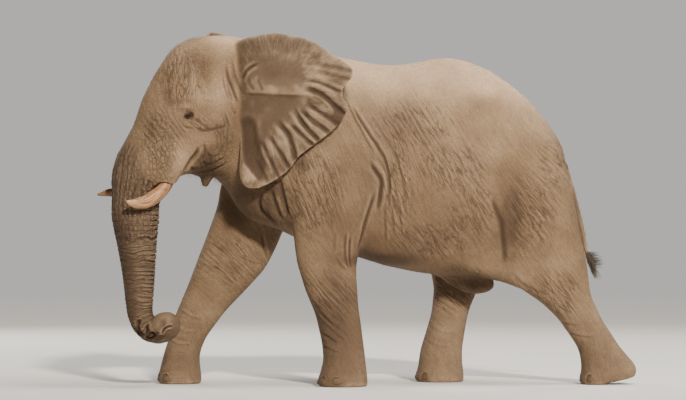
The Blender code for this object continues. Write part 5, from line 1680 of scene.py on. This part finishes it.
def strands(roots, ways, lengths, radii, bends, rng, bones=6, sides=4):
    """Tapered hairs as one mesh: points, triangles, and the root that each point belongs to."""
    share = np.linspace(0, 1, bones)
    turn = around_circle(sides)
    count = len(roots)
    ways = units(ways)
    reach = lengths[:, None, None]
    kink = rng.normal(0, 1, (count, 1, 3)) * 0.05
    run = share[:, None]
    bent = ways[:, None] * run + bends[:, None] * run**2 + kink * run**1.5
    spine = roots[:, None] + reach * bent
    side = units(np.cross(ways, (0.31, 0.17, 0.93)))
    up = np.cross(side, ways)
    thick = radii[:, None] * (1 - 0.8 * share ** 1.6)
    ring = side[:, None, None] * np.cos(turn)[:, None] + up[:, None, None] * np.sin(turn)[:, None]
    points = spine[:, :, None] + ring * thick[:, :, None, None]
    tips = spine[:, -1:] + ways[:, None] * radii[:, None, None]
    points = np.concatenate([points.reshape(count, bones * sides, 3), tips], 1)
    last = (bones - 1) * sides
    one = band_faces(0, bones - 1, sides)
    one += [(last + j, last + k, last + sides) for j, k in pairs_round(sides)]
    one += [(0, 2, 1), (0, 3, 2)]
    size = bones * sides + 1
    tris = (np.array(one)[None] + (np.arange(count) * size)[:, None, None]).reshape(-1, 3)
    return points.reshape(-1, 3), tris, np.repeat(np.arange(count), size)


def hair_piece(name, roots, flat_roots, ways, lengths, radii, bends, rng, material):
    points, tris, owner = strands(roots, ways, lengths, radii, bends, rng)
    mesh = mesh_from(name, points, tris)
    turn = np.arange(len(points) // len(roots)) * 2.4
    apart = np.tile(np.stack([np.cos(turn), np.sin(turn)], -1), (len(roots), 1)) * 0.0015
    flat = flat_roots - flat_roots.min(0)
    flat = flat / max(flat.max(), 1e-6) * 0.97 + 0.015
    write_map(mesh, flat[owner] + apart)
    piece = piece_from(name, mesh, material)
    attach(piece, "root")
    return piece


def make_tail_tuft(count, length, material):
    """Two combs of stiff bristles down the flat end of the tail, forked where they part."""
    rng = np.random.default_rng(5)
    low, high = (np.array(v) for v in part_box("tail_tuft"))
    share = rng.random(count) ** 0.9
    fork = rng.random(count) < 0.45
    top, foot = from_body(np.array(((2.392, 0.0, 1.415), (2.428, 0.0, 1.285))))
    roots = top + share[:, None] * (foot - top)
    roots += rng.normal(0, 1, (count, 3)) * (0.008, 0.009, 0.004)
    swing = np.where(fork, 1.25, 0.42)
    ways = np.stack([swing * (0.7 + 0.5 * rng.random(count)), rng.normal(0, 0.2, count),
                     -0.55 - 0.6 * rng.random(count)], -1)
    lengths = length * (0.45 + 0.55 * rng.random(count)) * (0.65 + 0.35 * share)
    bends = np.stack([np.where(fork, 0.1, 0.16), np.zeros(count), np.where(fork, 0.42, -0.3)], -1)
    ends = roots + (units(ways) + bends) * lengths[:, None]
    over = np.maximum((ends - high - 0.006).max(1), (low - 0.006 - ends).max(1))
    lengths = lengths - np.clip(over, 0, None) * 1.3
    fine = lengths > 0.03
    flat = np.c_[share, rng.random(count)]
    return hair_piece("tail_bristles", roots[fine], flat[fine], ways[fine], lengths[fine],
                      rng.uniform(0.0011, 0.0019, fine.sum()), bends[fine], rng, material)


def make_lashes(side, count, length, material):
    rng = np.random.default_rng(21 + side)
    middle, axes = eye_axes(side)
    share = np.linspace(-0.92, 0.92, count) + rng.normal(0, 0.01, count)
    u = share * LID_HALF_WIDTH
    v = LID_HALF_HEIGHT * np.sqrt(1 - share**2) + 0.001
    w = np.sqrt(np.clip((EYE_RADIUS + 0.005) ** 2 - u**2 - v**2, 0, None)) + 0.001
    roots = middle + np.stack([u, v, w], -1) @ axes
    ways = np.c_[share * 0.45, np.full(count, 0.05), np.ones(count)]
    ways += rng.normal(0, 0.08, (count, 3))
    lengths = length * rng.uniform(0.6, 1.0, count)
    bends = np.tile((0.0, -0.55, -0.2), (count, 1))
    return hair_piece("lashes_" + SIDES[side], roots, np.c_[share, share * 0.1], ways @ axes,
                      lengths, np.full(count, 0.0005), bends @ axes, rng, material)


BRISTLE_SPOTS = (  # name, number of hairs, length, and where they grow
    ("chin_bristles", 320, 0.055, lambda at: within(at.head, x=(-2.0, -1.5), z=(2.03, 2.3))
     & (at.trunk < 0.1) & (at.leg < 0.1) & (at.skull > 0.3)),
    ("crown_bristles", 520, 0.04, lambda at: (at.head[:, 2] > 3.45) & (at.skull > 0.5)),
    ("trunk_bristles", 900, 0.022, lambda at: at.trunk > 0.6),
    ("belly_bristles", 500, 0.03, lambda at: (at.normals[:, 2] < -0.5)
     & within(at.body, x=(-0.4, 1.3), z=(1.0, FAR_OFF))),
    ("back_bristles", 700, 0.022, lambda at: (at.normals[:, 2] > 0.6)
     & within(at.body, x=(-1.0, FAR_OFF), z=(2.9, FAR_OFF))),
    ("ear_bristles", 260, 0.035, lambda at: (at.ear > 0.4) & (at.ear_flat[:, 0] < 0.14)
     & (at.ear_flat[:, 1] < 2.9) & (at.ear_flat[:, 1] > 2.3)),
    ("tail_hairs", 420, 0.04, lambda at: within(
        at.body, x=(2.22, FAR_OFF), y=(-0.09, 0.09), z=(1.28, 2.1))),
)


def make_bristles(at, name, count, length, where, material):
    rng = np.random.default_rng(len(name) + count)
    seats = np.flatnonzero(where(at))
    if not len(seats):
        raise ValueError(f"nothing of the hide is where {name} should grow")
    seats = rng.choice(seats, min(count, len(seats)), replace=False)
    normal, body = at.normals[seats], at.body[seats]
    ways = normal + rng.normal(0, 0.25, (len(seats), 3)) + (0.25, 0.0, -0.35)
    lengths = length * rng.uniform(0.45, 1.0, len(seats))
    bends = np.tile((0.05, 0.0, -0.25), (len(seats), 1))
    roots = at.points[seats] - 0.002 * normal
    lengths[roots[:, 2] - lengths * 1.3 < 0.005] *= 0.2
    flat = body[:, (0, 2)] + 0.1 * body[:, 1:2]
    return hair_piece(name, roots, flat, ways, lengths, rng.uniform(0.0004, 0.0007, len(seats)),
                      bends, rng, material)


MADE = {}  # what the hide's operator leaves for the hair's


# --- the sizes and colours that a user would change --------------------------------------------


def shade(name, text, default):
    return bpy.props.FloatVectorProperty(name=name, description=text, subtype="COLOR", size=3,
                                         min=0.0, max=1.0, default=default)


def span(name, text, default, low, high):
    return bpy.props.FloatProperty(name=name, description=text, default=default, min=low, max=high,
                                   unit="LENGTH", subtype="DISTANCE", precision=4)


def number(name, text, default, low, high):
    return bpy.props.IntProperty(name=name, description=text, default=default, min=low, max=high)


class ELEPHANT_PG_hide(bpy.types.PropertyGroup):
    """The hide and its dust"""

    grain: span("Mesh grain", "Size of the hide's mesh cells", 0.011, 0.005, 0.04)
    relief: bpy.props.FloatProperty(name="Relief", description="Depth of folds and wrinkles",
                                    default=1.0, min=0.0, max=1.6, subtype="FACTOR")
    hide_colour: shade("Hide", "Bare hide", (0.19, 0.117, 0.06))
    dust_colour: shade("Dust", "Pale dust that lies on the hide", (0.27, 0.174, 0.094))
    # Also the tone of the painted light: on what faces up, on the pale spots, ridges and bulges.
    back_colour: shade("Back", "Sun-bleached dust along the back", (0.5, 0.345, 0.215))
    trunk_colour: shade("Trunk", "Bare, darker hide of the trunk", (0.092, 0.059, 0.035))
    ear_colour: shade("Ears", "Thin hide of the ears", (0.076, 0.049, 0.028))
    leg_colour: shade("Legs", "Hide below the knees", (0.14, 0.089, 0.05))
    # Also the tone of the painted shade in folds, cracks and hollows, and, lighter, of the dark
    # spots' painted shade.
    furrow_colour: shade("Furrows", "Depth of the folds and cracks", (0.036, 0.02, 0.011))


class ELEPHANT_PG_tusks(bpy.types.PropertyGroup):
    """The tusks"""

    around: number("Sides", "Points round each tusk", 72, 12, 160)
    ivory_colour: shade("Ivory", "Clean ivory", (0.48, 0.262, 0.12))
    stain_colour: shade("Stain", "Earth and sap in the grain of the ivory", (0.165, 0.068, 0.024))


class ELEPHANT_PG_eyes(bpy.types.PropertyGroup):
    """The eyes and their lashes"""

    iris_colour: shade("Iris", "Brown of the iris", (0.03, 0.014, 0.006))
    lashes: number("Lashes", "Lashes on each upper lid", 34, 0, 120)
    lash_length: span("Lash length", "Length of the longest lash", 0.034, 0.01, 0.1)
    lash_colour: shade("Lashes", "Lashes of the upper lids", (0.022, 0.014, 0.009))


class ELEPHANT_PG_nails(bpy.types.PropertyGroup):
    """The toenails"""

    around: number("Sides", "Points round each nail", 44, 12, 90)
    nail_colour: shade("Nail", "Horn of the nails", (0.12, 0.076, 0.044))
    dust_colour: shade("Dust", "Dust caught on the nails", (0.165, 0.105, 0.058))


class ELEPHANT_PG_hair(bpy.types.PropertyGroup):
    """The tail's bristles and the thin hair of the body"""

    bristles: number("Tail bristles", "Bristles in the tail's tuft", 620, 50, 1500)
    bristle_length: span("Bristle length", "Length of the longest bristle", 0.24, 0.05, 0.5)
    hair_colour: shade("Hair", "Bristles and lashes", (0.062, 0.041, 0.026))


class ELEPHANT_PG_stage(bpy.types.PropertyGroup):
    """The floor, the light and the camera"""

    floor_colour: shade("Floor", "Pale floor under the bull", (0.7, 0.68, 0.65))
    haze_colour: shade("Haze", "Even tone that the floor fades into far off", (0.54, 0.53, 0.51))
    reach: span("Camera reach", "How far the camera stands from the bull", 28.0, 10.0, 60.0)
    level: span("Camera height", "Height of the camera above the floor", 1.53, 0.3, 4.0)


# --- operators ---------------------------------------------------------------------------------


class ELEPHANT_OT_hide(bpy.types.Operator):
    """Draw one wrinkled hide over all the flesh"""

    bl_idname = "elephant.hide"
    bl_label = "Hide"

    def execute(self, context):
        sizes = context.scene.elephant_hide
        grain = sizes.grain * 1.0
        at, links, furrow, hollow = make_hide(grain, sizes.relief)
        MADE["hide"] = at
        mesh = mesh_from("hide", at.points, at.tris)
        low = 1 - ease(at.body[:, 2], 0.4, 1.3)
        # Lighter high on the body where the hide faces up: pale dust along the back and painted
        # light from above.
        top = ease(links.soft(at.normals[:, 2], 10), 0.15, 0.85) * ease(at.body[:, 2], 2.4, 3.2)
        # furrow and hollow carry the painted shade of creases and hollows; dusty carries pale dust
        # and painted light above 0, and bare hide and painted shade below 0.
        for name, values, passes in (
            ("furrow", furrow, 1), ("hollow", hollow, 1), ("trunk", at.trunk, 12),
            ("ear", at.ear, 0), ("low", low, 4), ("dusty", dust_light_and_shade(at), 2), ("flow", at.flow, 0),
            ("wrinkle", at.wrinkle, 0), ("knobby", at.knobby, 2),
            ("back", top * (1 - 0.6 * at.skull), 0),
        ):
            values = links.soft(values, passes)
            store(mesh, name, np.clip(values, 0, 1) if name == "furrow" else values)
        write_hide_map(mesh, at, links.soft(at.normals, 20))
        hide = piece_from("hide", mesh, hide_material(sizes))
        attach(hide, "root")
        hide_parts(*FLESH)
        return {"FINISHED"}


class ELEPHANT_OT_tusks(bpy.types.Operator):
    """Carve the two tusks"""

    bl_idname = "elephant.tusks"
    bl_label = "Tusks"

    def execute(self, context):
        sizes = context.scene.elephant_tusks
        ivory = ivory_material(sizes)
        for side, name in SIDES.items():
            points, tris, along, streak, flat = make_tusk(side, sizes.around)
            mesh = mesh_from("tusk_" + name, points, tris)
            store(mesh, "along", along)
            store(mesh, "streak", streak)
            # Painted shade over the far tusk, on the right.
            store(mesh, "earthy", np.full(len(points), 0.0 if side < 0 else 1.0))
            write_map(mesh, flat)
            tusk = piece_from("ivory_" + name, mesh, ivory)
            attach(tusk, "root")
            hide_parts("tusk_" + name)
        return {"FINISHED"}


class ELEPHANT_OT_eyes(bpy.types.Operator):
    """Set the two eyes"""

    bl_idname = "elephant.eyes"
    bl_label = "Eyes"

    def execute(self, context):
        glassy = eye_material(context.scene.elephant_eyes)
        for side, name in SIDES.items():
            points, tris, off, spokes, flat = make_eye(side)
            mesh = mesh_from("eyeball_" + name, points, tris)
            store(mesh, "off_axis", off)
            store(mesh, "spokes", spokes)
            write_map(mesh, flat)
            ball = piece_from("eyeball_" + name, mesh, glassy)
            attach(ball, "root")
            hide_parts("eye_" + name)
        return {"FINISHED"}


class ELEPHANT_OT_nails(bpy.types.Operator):
    """Set the toenails"""

    bl_idname = "elephant.nails"
    bl_label = "Toenails"

    def execute(self, context):
        sizes = context.scene.elephant_nails
        horn = nail_material(sizes)
        for name in NAILS:
            points, tris = make_nail(name, around=sizes.around)
            plate = piece_from(name.replace("nail", "toenail"), mesh_from(name, points, tris), horn)
            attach(plate, "root")
            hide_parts(name)
        return {"FINISHED"}


class ELEPHANT_OT_hair(bpy.types.Operator):
    """Grow the tail's tuft, the lashes and the thin bristles of the body"""

    bl_idname = "elephant.hair"
    bl_label = "Hair"

    def execute(self, context):
        sizes = context.scene.elephant_hair
        lids = context.scene.elephant_eyes
        if "hide" not in MADE:
            raise RuntimeError("the hair grows on the hide, which isn't made yet")
        brown = hair_material("hair", sizes.hair_colour)
        dark = hair_material("lash", lids.lash_colour)
        tuft = make_tail_tuft(sizes.bristles, sizes.bristle_length, brown)
        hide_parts("tail_tuft")
        for side in SIDES:
            make_lashes(side, lids.lashes, lids.lash_length, dark)
        for name, count, length, where in BRISTLE_SPOTS:
            make_bristles(MADE["hide"], name, count, length, where, brown)
        return {"FINISHED"}


FLOOR_REACH = 400.0
HAZE_FROM, HAZE_TO = 10.0, 55.0  # the floor fades into the haze between these distances
AIR_COLOUR, AIR_STRENGTH = (0.95, 0.96, 1.0, 1.0), 0.135
LIGHTS = (  # name, kind, place, aim, size (the sun's in radians), power, colour
    ("key", "SUN", (3.4, -24.0, 13.8), (0.0, 0.0, 1.8), math.radians(4.7), 5.7, (1.0, 0.94, 0.85)),
    ("top", "AREA", (3.5, -2.0, 11.0), (0.3, 0.0, 2.4), 7.0, 1250.0, (1.0, 0.96, 0.92)),
    ("rim", "AREA", (9.0, 12.0, 11.0), (0.0, 0.0, 2.6), 5.0, 900.0, (1.0, 0.96, 0.9)),
    ("far side", "AREA", (-7.0, 15.0, 7.5), (-0.5, 0.0, 1.8), 7.0, 1300.0, (1.0, 0.97, 0.93)),
)
CAMERA_TURN = math.radians(-8.0)  # the camera looks a little towards the bull's tail
VIEW_SHIFT = -0.2447  # along the view, so that the bull stands where he should in it
VIEW_RISE = 0.0152  # how far the view's middle lies over the horizon, as a slope
VIEW_SPAN = 7.298  # the width that the view takes in, where the bull stands
SENSOR_WIDTH = 36.0  # millimetres
SIGHT_REACH = 1000.0


class ELEPHANT_OT_stage(bpy.types.Operator):
    """Lay the pale floor, hang the lights and place the camera"""

    bl_idname = "elephant.stage"
    bl_label = "Stage"

    def execute(self, context):
        sizes = context.scene.elephant_stage
        self.lay_floor(sizes)
        self.hang_lights(context, sizes)
        self.place_camera(context, sizes)
        return {"FINISHED"}

    def lay_floor(self, sizes):
        material, sheet, shader = new_material("paper")
        place = sheet.place()
        soft = sheet.grain(place, 0.6, 3.0, 0.5)
        base = sheet.blend(soft, colour(sizes.floor_colour, 0.97), colour(sizes.floor_colour, 1.03))
        sheet.dress(shader, {"Base Color": base, "Roughness": 0.9, "Specular IOR Level": 0.1})
        away = sheet.put("VectorMath", (0, place), operation="LENGTH").outputs[1]
        far = sheet.smooth(away, HAZE_FROM, HAZE_TO)
        haze = sheet.put("Emission", (0, colour(sizes.haze_colour)))
        sheet.show_both(far, shader.outputs[0], haze.outputs[0], "Material Output")
        corners = np.array(((-1, -1, 0), (1, -1, 0), (1, 1, 0), (-1, 1, 0))) * FLOOR_REACH
        mesh = mesh_from("paper_floor", corners, [(0, 1, 2, 3)])
        floor = piece_from("paper_floor", mesh, material)

    def hang_lights(self, context, sizes):
        world = bpy.data.worlds.new("studio")
        world.use_nodes = True
        sheet = Sheet(world.node_tree)
        air = sheet.nodes["Background"]
        sheet.join(air.inputs[0], AIR_COLOUR)
        sheet.join(air.inputs[1], AIR_STRENGTH)
        haze = sheet.put("Background", (0, colour(sizes.haze_colour)))
        seen = sheet.put("LightPath").outputs["Is Camera Ray"]
        sheet.show_both(seen, air.outputs[0], haze.outputs[0], "World Output")
        context.scene.world = world
        for name, kind, place, aim, size, power, tint in LIGHTS:
            lamp = bpy.data.lights.new(name, kind)
            lamp.energy, lamp.color = power, tint
            if kind == "SUN":
                lamp.angle = size
            else:
                lamp.shape, lamp.size = "DISK", size
            holder = linked(name, lamp)
            holder.location = place
            way = Vector(aim) - Vector(place)
            holder.rotation_euler = way.to_track_quat("-Z", "Y").to_euler()

    def place_camera(self, context, sizes):
        c, s = math.cos(CAMERA_TURN), math.sin(CAMERA_TURN)
        target = Vector((STANDS_AT[0] + c * VIEW_SHIFT, STANDS_AT[1] + s * VIEW_SHIFT, sizes.level))
        lens = bpy.data.cameras.new("view")
        lens.sensor_width, lens.clip_end = SENSOR_WIDTH, SIGHT_REACH
        lens.lens = sizes.reach / VIEW_SPAN * SENSOR_WIDTH
        camera = linked("view", lens)
        camera.location = target + Vector((s, -c, 0)) * sizes.reach
        camera.rotation_euler = (math.pi / 2 + math.atan(VIEW_RISE), 0.0, CAMERA_TURN)
        context.scene.camera = camera


class ELEPHANT_PT_panel(bpy.types.Panel):
    """Lists the bull's pieces in the order they are made"""

    bl_idname = "ELEPHANT_PT_panel"
    bl_label = "Elephant"
    bl_space_type = "VIEW_3D"
    bl_region_type = "UI"
    bl_category = "Elephant"

    def draw(self, context):
        for operator, group in zip(OPERATORS, GROUPS):
            box = self.layout.box()
            box.operator(operator.bl_idname)
            settings = getattr(context.scene, group)
            for field in settings.bl_rna.properties:
                if field.identifier not in {"rna_type", "name"}:
                    box.prop(settings, field.identifier)


OPERATORS = (ELEPHANT_OT_hide, ELEPHANT_OT_tusks, ELEPHANT_OT_eyes, ELEPHANT_OT_nails,
             ELEPHANT_OT_hair, ELEPHANT_OT_stage)
GROUPS = {
    "elephant_hide": ELEPHANT_PG_hide,
    "elephant_tusks": ELEPHANT_PG_tusks,
    "elephant_eyes": ELEPHANT_PG_eyes,
    "elephant_nails": ELEPHANT_PG_nails,
    "elephant_hair": ELEPHANT_PG_hair,
    "elephant_stage": ELEPHANT_PG_stage,
}


def register():
    for cls in (*GROUPS.values(), *OPERATORS, ELEPHANT_PT_panel):
        bpy.utils.register_class(cls)
    for name, cls in GROUPS.items():
        setattr(bpy.types.Scene, name, bpy.props.PointerProperty(type=cls))


def unregister():
    for name in GROUPS:
        delattr(bpy.types.Scene, name)
    for cls in (ELEPHANT_PT_panel, *reversed(OPERATORS), *reversed(GROUPS.values())):
        bpy.utils.unregister_class(cls)


def main():
    register()
    bpy.ops.elephant.hide()
    bpy.ops.elephant.tusks()
    bpy.ops.elephant.eyes()
    bpy.ops.elephant.nails()
    bpy.ops.elephant.hair()
    bpy.ops.elephant.stage()


if __name__ == "__main__":
    main()
